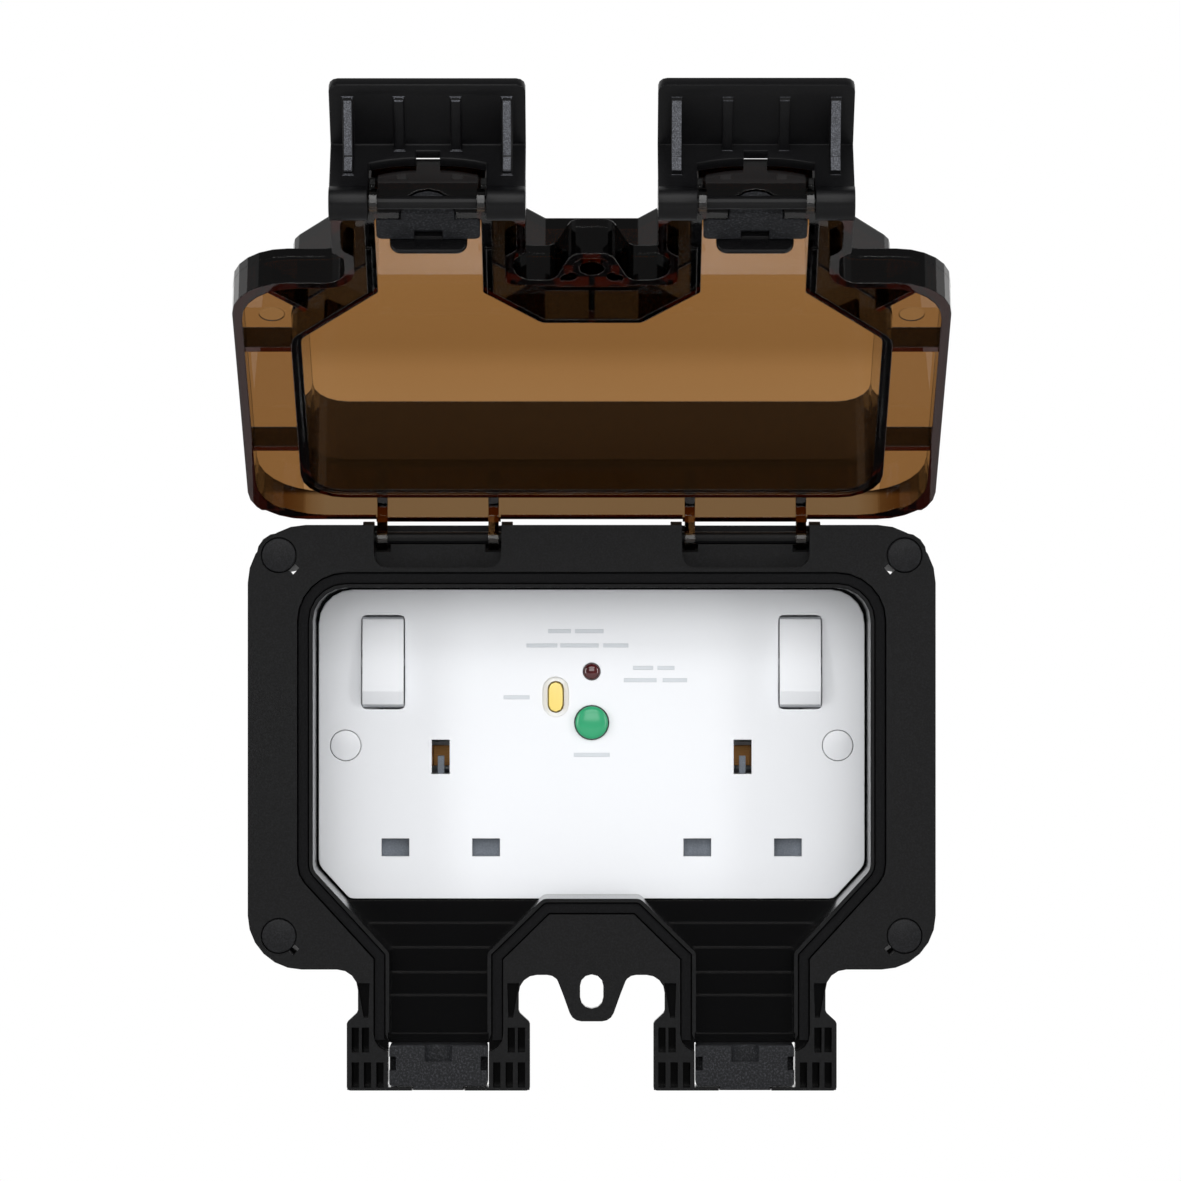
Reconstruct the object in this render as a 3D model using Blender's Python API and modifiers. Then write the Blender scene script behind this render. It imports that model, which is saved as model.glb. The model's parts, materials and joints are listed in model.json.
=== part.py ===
"""Weatherproof double switched socket with residual-current protection, lid and latches open.

Millimetres are turned to metres once, by MM. X runs to the right, Z up, and the fronts face -Y.
The wall plane is Y = 0. The lid and its latches are modelled shut, where their outlines meet the
housing's, and empties on the joint axes then swing them open.
"""

import math

import bmesh
import bpy
from mathutils import Matrix, Vector

MM = 0.001
CLEARANCE = 0.3 * MM
OVERCUT = 1.0 * MM
CHORD_ERROR = 0.13 * MM
MERGE = 0.002 * MM
SUNK = 0.02 * MM
UNDER_BORDER = 0.5 * MM

# Rear housing
PLATE_SIDE_MARGIN = 7.0 * MM
RECESS_TOP = 38.4 * MM
RECESS_CORNER = 8.0 * MM
RECESS_SIDE_END = 29.6 * MM
RECESS_BOTTOM = 36.6 * MM
BOX_BOTTOM = 38.1 * MM
BORDER_SIDE = 15.7 * MM
BORDER_TOP = 15.2 * MM
BORDER_BOTTOM = 15.6 * MM
BODY_CORNER_TOP = 14.0 * MM
BODY_CORNER_BOTTOM = 15.0 * MM
BORDER_THICKNESS = 3.0 * MM
SKIRT_WALL = 2.2 * MM
BOX_WALL = 2.4 * MM
BACK_WALL = 3.0 * MM
SEAT_STEP = 0.1 * MM
PLATE_LEDGE = 1.5 * MM
FACE_DEPTH = 25.0 * MM

# Cable towers under each socket
SOCKET_PITCH = 74.0 * MM
TOWER_HALF_WIDTH = 22.1 * MM
TOWER_END = 82.9 * MM
TOWER_NECK = 19.4 * MM
TOWER_SHOULDER = 66.4 * MM
TOWER_FILLET = 9.5 * MM
LADDER_DEPTH = 10.0 * MM
LADDER_FLOOR = 2.0 * MM
LADDER_SLOT = 1.75 * MM
LADDER_ROWS = ((-82.2 * MM, -76.1 * MM, (14.1 * MM, 17.1 * MM, 20.05 * MM)),
               (-73.7 * MM, -67.7 * MM, (17.6 * MM, 20.05 * MM)))
CHANNEL_DEPTH = 12.5 * MM
CHANNEL_WALL = 2.0 * MM
CHANNEL_BEND = 3.8 * MM
CHANNEL_HALF_WIDTH = 11.85 * MM
CHANNEL_START = 49.7 * MM
CHANNEL_END = 69.9 * MM
FUNNEL_INNER = 11.75 * MM
STEP_EDGES = (43.6 * MM, 49.4 * MM, 55.3 * MM, 60.7 * MM)
ARCH_TOP = 55.0 * MM
ARCH_RADIUS = 4.6 * MM
TAB_HALF_WIDTH = 8.6 * MM
TAB_TIP_HALF_WIDTH = 4.6 * MM
TAB_END = 66.2 * MM
TAB_THICKNESS = 4.2 * MM
WEDGE_CORNERS = ((16.6 * MM, 57.0 * MM), (19.5 * MM, 57.0 * MM),
                 (18.0 * MM, 65.4 * MM), (16.9 * MM, 65.4 * MM))
WEDGE_DEPTH = 2.2 * MM
PADLOCK_Z = -59.0 * MM
PADLOCK_WIDTH = 5.6 * MM
PADLOCK_HEIGHT = 8.2 * MM

# Seal groove and gasket
LIP_WIDTH = 0.9 * MM
GROOVE_WIDTH = 2.9 * MM
GROOVE_DEPTH = 4.0 * MM
GROOVE_WALL = 1.8 * MM
GROOVE_FLOOR = 1.6 * MM
GASKET_HEIGHT = 2.7 * MM
SEAL_LENGTH = 10.1 * MM
SEAL_MARGIN = 0.8 * MM
SEAL_BORE = 3.3 * MM
SEAL_BORE_LENGTH = 3.9 * MM
SEAL_DEPTH = 12.2 * MM
KEYWAY_DEPTH = 1.6 * MM
KEYWAY_LOW = 6.0 * MM
KEYWAY_HIGH = 2.7 * MM
KEYWAY_REACH = 4.0 * MM

# Corner fixings
CAP_RADIUS = 4.2 * MM
CAP_THICKNESS = 1.2 * MM
CAP_STEM_RADIUS = 2.0 * MM
CAP_STEM_LENGTH = 6.0 * MM
FIXING_INSET_SIDE = 7.5 * MM
FIXING_INSET_TOP = 7.3 * MM
FIXING_INSET_BOTTOM = 8.1 * MM
FIXING_BORE = 2.4 * MM
FIXING_TUBE = 3.9 * MM
PRY_SLOT_WIDTH = 2.2 * MM
PRY_SLOT_LENGTH = 1.5 * MM
PRY_SLOT_DEPTH = 8.0 * MM
PRY_SLOT_ANGLE = 133.0
CAP_SEAT_WALL = 1.2 * MM
CAP_SEAT_DEPTH = 5.0 * MM
CAP_FIT = 0.15 * MM

# Lid hinge
HINGE_X = 37.2 * MM
HINGE_BEHIND_RIM = 6.0 * MM
HINGE_BELOW_TOP = 3.05 * MM
HINGE_POCKET_HALF_WIDTH = 15.4 * MM
HINGE_POCKET_HEIGHT = 10.2 * MM
HINGE_POCKET_DEPTH = 12.5 * MM
HINGE_SHELF_HEIGHT = 5.6 * MM
HINGE_SHELF_DEPTH = 5.0 * MM
HINGE_POCKET_WALL = 2.0 * MM
HINGE_EAR_WIDTH = 2.8 * MM
HINGE_EAR_RADIUS = 3.9 * MM
HINGE_PIN_RADIUS = 1.5 * MM
HINGE_ARM_THICKNESS = 2.5 * MM
HINGE_ARM_RADIUS = 3.0 * MM
HINGE_ARM_ROOT = 8.5 * MM
RIM_RELIEF = 0.7 * MM
RIM_RELIEF_HEIGHT = 5.5 * MM
LID_OPEN_ANGLE = 120.0

# Lid
LID_WALL = 2.2 * MM
LID_BORDER_DEPTH = 9.5 * MM
CHAMBER_WALL = 2.4 * MM
CHAMBER_DEPTH = 27.5 * MM
CHAMBER_MARGIN = 1.7 * MM
CHAMBER_EDGE_RADIUS = 2.0 * MM
CHAMBER_TONGUE = 0.7 * MM
HOOD_START = 53.0 * MM
HOOD_END_DEPTH = 14.6 * MM
SIDE_RIB_Z = 22.3 * MM
SIDE_RIB_THICKNESS = 2.0 * MM
RIB_HEIGHT = 7.2 * MM
CORNER_RIB_THICKNESS = 1.3 * MM
EJECTOR_RADIUS = 3.0 * MM
EJECTOR_INSET = 8.5 * MM
EJECTOR_Z = -29.0 * MM
EJECTOR_DEPTH = 0.2 * MM
LUG_HOLE = 2.85 * MM
LUG_SIDE_HOLE = 1.95 * MM
LUG_SIDE_HOLE_X = 5.3 * MM
LUG_SIDE_HOLE_Z = -55.6 * MM
LID_SEAL_DEPTH = 7.5 * MM
LID_SEAL_NOSE = 6.0 * MM

# Latches
LATCH_HALF_WIDTH = 22.1 * MM
LATCH_OUT = 4.35 * MM
LATCH_BARREL = 3.7 * MM
LATCH_BARREL_CORNER = 2.7 * MM
LATCH_GAP_HALF_WIDTH = 13.3 * MM
LATCH_ARM = 19.5 * MM
LATCH_PADDLE = 20.1 * MM
LATCH_PLATE = 2.5 * MM
LATCH_PLATE_BELOW = 0.6 * MM
LATCH_PIN_RADIUS = 1.5 * MM
LATCH_CORNER = 2.1 * MM
LATCH_WINDOW_SIDE = 10.9 * MM
LATCH_WINDOW_MIDDLE = 12.5 * MM
LATCH_NOTCH = 15.0 * MM
LATCH_NOTCH_HALF_WIDTH = 2.7 * MM
LATCH_EAR_WIDTH = 1.8 * MM
LATCH_EAR_RADIUS = 3.1 * MM
LATCH_EAR_FOOT = 7.0 * MM
GUSSET_OUTER_X = 17.9 * MM
GUSSET_INNER_X = 6.4 * MM
GUSSET_THICKNESS = 2.3 * MM
GUSSET_LENGTH = 14.0 * MM
GUSSET_OUTER_HEIGHT = 9.9 * MM
GUSSET_INNER_HEIGHT = 2.0 * MM
GUSSET_TOE = 1.4 * MM
LATCH_OPEN_ANGLE = 193.0

# Faceplate and what shows in it
PLATE_THICKNESS = 3.0 * MM
PLATE_EDGE_BEVEL = 1.2 * MM
PLATE_FIXING_PITCH = 120.6 * MM
PLATE_FIXING_Z = -0.2 * MM
PLATE_CAP_RADIUS = 3.7 * MM
PLATE_CAP_THICKNESS = 1.3 * MM
PLATE_BOSS_RADIUS = 5.0 * MM
PLATE_BOSS_DEPTH = 8.0 * MM
PLATE_LUG_RADIUS = 4.6 * MM
PLATE_COUNTERBORE_DEPTH = 4.0 * MM
PLATE_SCREW_HEAD = 3.3 * MM
PLATE_SCREW_RADIUS = 1.75 * MM
PLATE_SCREW_LENGTH = 20.0 * MM
EARTH_SLOT_WIDTH = 4.4 * MM
EARTH_SLOT_HEIGHT = 8.4 * MM
EARTH_Z = -3.0 * MM
PIN_SLOT_WIDTH = 6.8 * MM
PIN_SLOT_HEIGHT = 4.4 * MM
PIN_OFFSET = 11.11 * MM
PIN_Z = -25.2 * MM
ROCKER_INSET = 9.2 * MM
ROCKER_Z = 20.2 * MM
ROCKER_OPENING_WIDTH = 10.7 * MM
ROCKER_OPENING_HEIGHT = 23.1 * MM
ROCKER_AXIS_DEPTH = 3.0 * MM
ROCKER_PROUD = 1.9 * MM
ROCKER_TILT = 6.5
ROCKER_END_ANGLE = 12.0
ROCKER_BACK = 4.5 * MM
ROCKER_BACK_HALF_HEIGHT = 4.0 * MM
TRUNNION_RADIUS = 1.0 * MM
TRUNNION_LENGTH = 1.2 * MM
CHEEK_THICKNESS = 2.4 * MM
CHEEK_DEPTH = 4.0 * MM
CHEEK_HALF_HEIGHT = 3.0 * MM
RESET_RADIUS = 4.0 * MM
RESET_Z = 5.4 * MM
RESET_PROUD = 2.2 * MM
LED_RADIUS = 2.0 * MM
LED_Z = 17.9 * MM
LED_PROUD = 0.9 * MM
TEST_X = -8.8 * MM
TEST_Z = 11.7 * MM
TEST_WIDTH = 3.4 * MM
TEST_HEIGHT = 7.2 * MM
TEST_PROUD = 0.9 * MM
DISH_WIDTH = 6.4 * MM
DISH_HEIGHT = 9.9 * MM
DISH_DEPTH = 0.8 * MM
BUTTON_FLANGE = 0.9 * MM
BUTTON_FLANGE_THICKNESS = 1.2 * MM
BUTTON_TRAVEL = 2.2 * MM
PLUNGER_RADIUS = 1.3 * MM
PLUNGER_LENGTH = 3.2 * MM

# Works behind the faceplate
COVER_SIDE_GAP = 4.8 * MM
COVER_TOP_GAP = 3.0 * MM
COVER_BOTTOM_GAP = 2.7 * MM
COVER_WALL = 1.8 * MM
COVER_DEPTH = 22.0 * MM
COVER_NOTCH_GAP = 1.7 * MM
WIRING_SPACE = 9.0 * MM
COVER_NOTCH_HALF_HEIGHT = 7.2 * MM
COVER_NOTCH_FLARE = 0.3 * MM
COVER_CHAMFER = 7.5 * MM
SHUTTER_HALF_WIDTH = 15.6 * MM
SHUTTER_HEIGHT = 5.6 * MM
SHUTTER_THICKNESS = 1.6 * MM
SHUTTER_ARM_HALF_WIDTH = 0.8 * MM
CONTACT_SPACE = 1.5 * MM
CONTACT_STRIP = 0.8 * MM
CONTACT_LENGTH = 10.0 * MM
CONTACT_WIDTH = 5.0 * MM
CONTACT_GRIP = 2.1 * MM
EARTH_BAR_HEIGHT = 4.0 * MM
STAND_HALF = 3.4 * MM
MODULE_HALF_WIDTH = 17.0 * MM
MODULE_TOP = 30.0 * MM
MODULE_BOTTOM = -8.5 * MM
TERMINAL_RADIUS = 3.2 * MM
TERMINAL_SPACING = 11.0 * MM
TERMINAL_Z = 24.0 * MM

# Values that follow from those above
RECESS_HALF_WIDTH = PLATE_FIXING_PITCH / 2 + PLATE_SIDE_MARGIN
ROCKER_X = PLATE_FIXING_PITCH / 2 - ROCKER_INSET
BODY_DEPTH = FACE_DEPTH + PLATE_THICKNESS + COVER_DEPTH + WIRING_SPACE + BACK_WALL
FRONT = -BODY_DEPTH
FACE = FRONT + FACE_DEPTH
RIM = FRONT - CLEARANCE
BODY_HALF_WIDTH = RECESS_HALF_WIDTH + BORDER_SIDE
BODY_TOP = RECESS_TOP + BORDER_TOP
BODY_BOTTOM = -(BOX_BOTTOM + BORDER_BOTTOM)
TOWER_X = SOCKET_PITCH / 2
HINGE_Y = FRONT + HINGE_BEHIND_RIM
HINGE_Z = BODY_TOP - HINGE_BELOW_TOP
LATCH_Y = RIM
LATCH_Z = -(TOWER_END + LATCH_OUT)
PLATE_BACK = FACE + PLATE_THICKNESS
COVER_BACK = PLATE_BACK + COVER_DEPTH
CONTACT_FRONT = PLATE_BACK + SHUTTER_THICKNESS + CONTACT_SPACE

MODEL = "double_rcd_socket"
TOOLS = "boolean_tools"


def reset_scene():
    for old in list(bpy.data.objects):
        bpy.data.objects.remove(old, do_unlink=True)
    for name in (MODEL, TOOLS):
        collection = bpy.data.collections.new(name)
        bpy.context.scene.collection.children.link(collection)


def material(name, colour, roughness, metallic=0.0, alpha=1.0):
    made = bpy.data.materials.get(name)
    if made is None:
        made = bpy.data.materials.new(name)
        made.use_nodes = True
        shader = made.node_tree.nodes["Principled BSDF"]
        shader.inputs["Base Color"].default_value = (*colour, 1.0)
        shader.inputs["Roughness"].default_value = roughness
        shader.inputs["Metallic"].default_value = metallic
        shader.inputs["Alpha"].default_value = alpha
    return made


def black_abs():
    return material("black_abs", (0.012, 0.012, 0.013), 0.45)


def black_rubber():
    return material("black_rubber", (0.02, 0.021, 0.023), 0.8)


def smoked_polycarbonate():
    return material("smoked_polycarbonate", (0.12, 0.05, 0.02), 0.08, alpha=0.55)


def white_urea():
    return material("white_urea", (0.83, 0.85, 0.88), 0.35)


def brass():
    return material("brass", (0.48, 0.3, 0.1), 0.35, metallic=1.0)


def zinc_steel():
    return material("zinc_steel", (0.55, 0.56, 0.57), 0.35, metallic=1.0)


def black_nylon():
    return material("black_nylon", (0.013, 0.013, 0.014), 0.5)


def grey_nylon():
    return material("grey_nylon", (0.16, 0.17, 0.2), 0.5)


def arc_corner(before, corner, after, radius):
    """Points of the round that replaces one corner of an outline."""
    to_before = (before - corner).normalized()
    to_after = (after - corner).normalized()
    half = to_before.angle(to_after) / 2
    reach = radius / math.tan(half)
    reach = min(reach, 0.49 * (before - corner).length, 0.49 * (after - corner).length)
    radius = reach * math.tan(half)
    centre = corner + (to_before + to_after).normalized() * (radius / math.sin(half))
    start = corner + to_before * reach - centre
    turn = start.angle_signed(corner + to_after * reach - centre)
    steps = arc_steps(radius, abs(turn))
    return [centre + rotated(start, -turn * step / steps) for step in range(steps + 1)]


def arc_steps(radius, angle):
    """Enough straight steps to keep an arc within the chord error."""
    step = 2 * math.acos(max(0.5, 1 - CHORD_ERROR / radius))
    return max(1, math.ceil(angle / step - 0.01))


def rotated(vector, angle):
    return Vector((vector.x * math.cos(angle) - vector.y * math.sin(angle),
                   vector.x * math.sin(angle) + vector.y * math.cos(angle)))


def outline(corners, closed=True):
    """An outline from (across, up) or (across, up, radius) corners."""
    points = []
    count = len(corners)
    for index, corner in enumerate(corners):
        here = Vector(corner[:2])
        radius = corner[2] if len(corner) > 2 else 0.0
        is_end = not closed and index in (0, count - 1)
        if radius == 0.0 or is_end:
            points.append(here)
            continue
        before = Vector(corners[index - 1][:2])
        after = Vector(corners[(index + 1) % count][:2])
        points.extend(arc_corner(before, here, after, radius))
    return points


def mirrored(half):
    """A whole outline from its left half, whose two ends lie on the middle line."""
    other = [(-corner[0], *corner[1:]) for corner in reversed(half[1:-1])]
    return list(half) + other


def without_doubles(points):
    kept = []
    for point in map(Vector, points):
        if not kept or (point - kept[-1]).length > 0.01 * MM:
            kept.append(point)
    return kept


def grown(corners, distance, closed=True):
    """Corners of an outline moved outwards, where they run anticlockwise, with rounds to match."""
    moved = []
    count = len(corners)
    for index, corner in enumerate(corners):
        here = Vector(corner[:2])
        radius = corner[2] if len(corner) > 2 else 0.0
        before = Vector(corners[index - 1][:2])
        after = Vector(corners[(index + 1) % count][:2])
        into = (here - before).normalized()
        away = (after - here).normalized()
        if not closed and index == 0:
            into = away
        if not closed and index == count - 1:
            away = into
        normal_in = Vector((into.y, -into.x))
        normal_out = Vector((away.y, -away.x))
        middle = (normal_in + normal_out).normalized()
        reach = distance / middle.dot(normal_in)
        bulge = into.x * away.y - into.y * away.x
        new_radius = max(radius + math.copysign(distance, bulge), 0.2 * MM) if bulge else 0.0
        moved.append((*(here + middle * reach), new_radius))
    return moved


def ribbon(path, inner, outer):
    """A closed outline between two offsets of an open path of corners."""
    far = outline(grown(path, outer, False), False)
    near = outline(grown(path, inner, False), False)
    return far + list(reversed(near))


def box_outline(x_low, x_high, z_low, z_high, radius=0.0):
    return outline([(x_low, z_low, radius), (x_high, z_low, radius),
                    (x_high, z_high, radius), (x_low, z_high, radius)])


AXES_XZ = Matrix(((1, 0, 0), (0, 0, -1), (0, 1, 0))).to_4x4()
AXES_YZ = Matrix(((0, 0, 1), (1, 0, 0), (0, 1, 0))).to_4x4()
AXES_XY = Matrix.Identity(4)


def place(item, collection, look):
    bpy.data.collections[collection].objects.link(item)
    if look is not None:
        item.data.materials.append(look)
    if collection == TOOLS:
        item.hide_render = True
        item.display_type = "WIRE"
    return item


def extruded(name, loops, low, high, axes, look=None):
    """A flat outline, with holes where it has more loops, filled and given its thickness."""
    curve = bpy.data.curves.new(name, "CURVE")
    curve.dimensions = "2D"
    curve.fill_mode = "BOTH"
    curve.extrude = (high - low) / 2
    for loop in loops:
        loop = without_doubles(loop)
        spline = curve.splines.new("POLY")
        spline.points.add(len(loop) - 1)
        for point, at in zip(spline.points, loop):
            point.co = (at[0], at[1], 0.0, 1.0)
        spline.use_cyclic_u = True
    drawn = bpy.data.objects.new(name + "_outline", curve)
    bpy.context.scene.collection.objects.link(drawn)
    drawn.matrix_world = axes @ Matrix.Translation((0, 0, (low + high) / 2))
    bpy.context.view_layer.update()
    depsgraph = bpy.context.evaluated_depsgraph_get()
    mesh = bpy.data.meshes.new_from_object(drawn.evaluated_get(depsgraph))
    mesh.transform(drawn.matrix_world)
    bpy.data.objects.remove(drawn)
    bpy.data.curves.remove(curve)
    tidy(mesh)
    mesh.materials.clear()
    return place(bpy.data.objects.new(name, mesh), MODEL if look else TOOLS, look)


def tidy(mesh):
    """Weld a curve's loose caps and point the faces outwards."""
    edit = bmesh.new()
    edit.from_mesh(mesh)
    bmesh.ops.remove_doubles(edit, verts=edit.verts, dist=MERGE)
    bmesh.ops.recalc_face_normals(edit, faces=edit.faces)
    edit.to_mesh(mesh)
    edit.free()


def close_seams(mesh):
    """Merge the slivers that a cut leaves along its edges."""
    edit = bmesh.new()
    edit.from_mesh(mesh)
    bmesh.ops.remove_doubles(edit, verts=edit.verts, dist=MERGE)
    edit.to_mesh(mesh)
    edit.free()


def plate(name, loops, y_front, y_back, look=None):
    return extruded(name, loops, -y_back, -y_front, AXES_XZ, look)


def slice_x(name, loops, x_low, x_high, look=None):
    return extruded(name, loops, x_low, x_high, AXES_YZ, look)


def slice_z(name, loops, z_low, z_high, look=None):
    return extruded(name, loops, z_low, z_high, AXES_XY, look)


def block(name, low, high, look=None):
    mesh = bpy.data.meshes.new(name)
    edit = bmesh.new()
    bmesh.ops.create_cube(edit, size=1.0)
    size = Vector(high) - Vector(low)
    bmesh.ops.scale(edit, vec=size, verts=edit.verts)
    bmesh.ops.translate(edit, vec=Vector(low) + size / 2, verts=edit.verts)
    edit.to_mesh(mesh)
    edit.free()
    return place(bpy.data.objects.new(name, mesh), MODEL if look else TOOLS, look)


def rod(name, start, end, radius, look=None, sides=16):
    mesh = bpy.data.meshes.new(name)
    edit = bmesh.new()
    along = Vector(end) - Vector(start)
    bmesh.ops.create_cone(edit, cap_ends=True, segments=sides, radius1=radius, radius2=radius,
                          depth=along.length)
    turn = along.to_track_quat("Z", "Y").to_matrix().to_4x4()
    middle = Matrix.Translation(Vector(start) + along / 2)
    bmesh.ops.transform(edit, matrix=middle @ turn, verts=edit.verts)
    edit.to_mesh(mesh)
    edit.free()
    return place(bpy.data.objects.new(name, mesh), MODEL if look else TOOLS, look)


def turned(name, profile, at, look, steps=24):
    """A turned piece that stands out of the face at (x, z): profile holds (radius, depth)."""
    mesh = bpy.data.meshes.new(name)
    edit = bmesh.new()
    chain = [edit.verts.new((radius, 0.0, -depth)) for radius, depth in profile]
    for first, second in zip(chain, chain[1:]):
        edit.edges.new((first, second))
    edit.to_mesh(mesh)
    edit.free()
    item = place(bpy.data.objects.new(name, mesh), MODEL, look)
    item.rotation_euler = (math.radians(90), 0.0, 0.0)
    item.location = (at[0], 0.0, at[1])
    screw = item.modifiers.new("turn", "SCREW")
    screw.steps = steps
    screw.render_steps = steps
    screw.use_merge_vertices = True
    screw.merge_threshold = 0.01 * MM
    return item


def combine(target, operation, label, tools, solver="EXACT"):
    """One Boolean with a group of tools, made final at once."""
    group = bpy.data.collections.new(target.name + "_" + label)
    bpy.data.collections[TOOLS].children.link(group)
    for tool in tools:
        bpy.data.collections[TOOLS].objects.unlink(tool)
        group.objects.link(tool)
    step = target.modifiers.new(label, "BOOLEAN")
    step.operation = operation
    step.operand_type = "COLLECTION"
    step.collection = group
    step.solver = solver
    bpy.context.view_layer.update()
    depsgraph = bpy.context.evaluated_depsgraph_get()
    mesh = bpy.data.meshes.new_from_object(target.evaluated_get(depsgraph))
    target.modifiers.clear()
    close_seams(mesh)
    target.data = mesh
    for tool in tools:
        bpy.data.objects.remove(tool)
    bpy.data.collections.remove(group)
    return target


def join(target, *tools, label="joined"):
    return combine(target, "UNION", label, tools)


def cut(target, *tools, label="cut"):
    return combine(target, "DIFFERENCE", label, tools)


def hang(item, empty):
    """Let an empty carry a piece, which keeps its modelled place in it."""
    item.parent = empty
    item.matrix_parent_inverse = Matrix.Translation(-Vector(empty["home"]))
    return item


def pivot(name, at, angle, parent=None):
    """An empty on a joint's axis, turned about X by the angle that the piece stands open."""
    empty = bpy.data.objects.new(name, None)
    bpy.data.collections[MODEL].objects.link(empty)
    empty["home"] = at
    empty.location = at
    empty.rotation_euler = (math.radians(angle), 0.0, 0.0)
    empty.empty_display_size = 0.02
    if parent is not None:
        empty.parent = parent
        empty.matrix_parent_inverse = Matrix.Translation(-Vector(parent["home"]))
    return empty


def side_name(side):
    return "left" if side < 0 else "right"


def body_half():
    """Left half of the outline that the housing's border and the lid share."""
    neck = TOWER_X + TOWER_NECK
    outer = TOWER_X + TOWER_HALF_WIDTH
    inner = TOWER_X - TOWER_HALF_WIDTH
    arch = TOWER_X - TOWER_NECK
    notch_top = -(TOWER_SHOULDER - 2.5 * MM)
    return [(0.0, BODY_TOP),
            (-BODY_HALF_WIDTH, BODY_TOP, BODY_CORNER_TOP),
            (-BODY_HALF_WIDTH, BODY_BOTTOM, BODY_CORNER_BOTTOM),
            (-neck, BODY_BOTTOM, TOWER_FILLET),
            (-neck, notch_top, 1.0 * MM),
            (-outer, -TOWER_SHOULDER, 0.8 * MM),
            (-outer, -TOWER_END, 0.8 * MM),
            (-inner, -TOWER_END, 0.8 * MM),
            (-inner, -TOWER_SHOULDER, 0.8 * MM),
            (-arch, notch_top, 1.0 * MM),
            (-arch, -ARCH_TOP, ARCH_RADIUS),
            (-TAB_HALF_WIDTH, -ARCH_TOP, 3.0 * MM),
            (-TAB_TIP_HALF_WIDTH, -TAB_END, 3.0 * MM),
            (0.0, -TAB_END)]


def recess_half():
    """Left half of the recess in front of the faceplate, with the funnel into its channel."""
    outer = TOWER_X + CHANNEL_HALF_WIDTH
    inner = TOWER_X - CHANNEL_HALF_WIDTH
    return [(0.0, RECESS_TOP),
            (-RECESS_HALF_WIDTH, RECESS_TOP, RECESS_CORNER),
            (-RECESS_HALF_WIDTH, -RECESS_SIDE_END, 3.0 * MM),
            (-outer, -CHANNEL_START, 1.0 * MM),
            (-outer, -CHANNEL_END, 0.6 * MM),
            (-inner, -CHANNEL_END, 0.6 * MM),
            (-inner, -CHANNEL_START, 1.0 * MM),
            (-FUNNEL_INNER, -RECESS_BOTTOM, 2.0 * MM),
            (0.0, -RECESS_BOTTOM)]


def box_half():
    """Left half of the wiring box behind the faceplate."""
    slope_x = RECESS_HALF_WIDTH - (BOX_BOTTOM - RECESS_SIDE_END) * slope_rate()
    return [(0.0, RECESS_TOP),
            (-RECESS_HALF_WIDTH, RECESS_TOP, RECESS_CORNER),
            (-RECESS_HALF_WIDTH, -RECESS_SIDE_END, 3.0 * MM),
            (-slope_x, -BOX_BOTTOM, 1.5 * MM),
            (0.0, -BOX_BOTTOM)]


def slope_rate():
    """How far the funnel's outer side comes in for each step down."""
    run = RECESS_HALF_WIDTH - TOWER_X - CHANNEL_HALF_WIDTH
    return run / (CHANNEL_START - RECESS_SIDE_END)


def border_rectangle():
    return [(BODY_HALF_WIDTH, BODY_TOP, BODY_CORNER_TOP),
            (-BODY_HALF_WIDTH, BODY_TOP, BODY_CORNER_TOP),
            (-BODY_HALF_WIDTH, BODY_BOTTOM, BODY_CORNER_BOTTOM),
            (BODY_HALF_WIDTH, BODY_BOTTOM, BODY_CORNER_BOTTOM)]


def step_depths():
    """Depth of each tread of the channel's staircase, from the faceplate to the seal."""
    count = len(STEP_EDGES)
    first = FACE_DEPTH - CLEARANCE
    return [first - (first - CHANNEL_DEPTH) * index / count for index in range(count + 1)]


def channel_floor():
    """The solid under both channels' stepped floors, as a slice across X."""
    profile = [(0.0, -BOX_BOTTOM)]
    edges = [BOX_BOTTOM, *STEP_EDGES, TOWER_END + 2 * OVERCUT]
    for index, depth in enumerate(step_depths()):
        profile.append((FRONT + depth, -edges[index]))
        profile.append((FRONT + depth, -edges[index + 1]))
    profile.append((0.0, -edges[-1]))
    return slice_x("channel_floor", [profile], -BODY_HALF_WIDTH, BODY_HALF_WIDTH)


def channel_shell():
    """The troughs' outer mass, cut back behind to follow the staircase."""
    shape = grown(mirrored(recess_half()), BOX_WALL - SUNK)
    trough = plate("channel_trough", [outline(shape)], FRONT + UNDER_BORDER, PLATE_BACK)
    depths = step_depths()
    behind = CHANNEL_WALL
    back = [(0.0, -BOX_BOTTOM - BOX_WALL),
            (FRONT + depths[0] + behind, -STEP_EDGES[0] + behind),
            (FRONT + depths[-2] + behind, -STEP_EDGES[-1]),
            (FRONT + depths[-1] + behind, -STEP_EDGES[-1] - CHANNEL_BEND),
            (FRONT + depths[-1] + behind, -TOWER_END - 2 * OVERCUT),
            (0.0, -TOWER_END - 2 * OVERCUT)]
    hollow = slice_x("behind_channels", [back], -BODY_HALF_WIDTH, BODY_HALF_WIDTH)
    cut(trough, hollow)
    return trough


def fixing_points():
    """Corner wall fixings as (name, x, z, direction of the pry slot)."""
    points = []
    for side in (-1, 1):
        x = side * (BODY_HALF_WIDTH - FIXING_INSET_SIDE)
        points.append(("top_" + side_name(side), x, BODY_TOP - FIXING_INSET_TOP, -side))
        points.append(("bottom_" + side_name(side), x, BODY_BOTTOM + FIXING_INSET_BOTTOM, -side))
    return points


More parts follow.
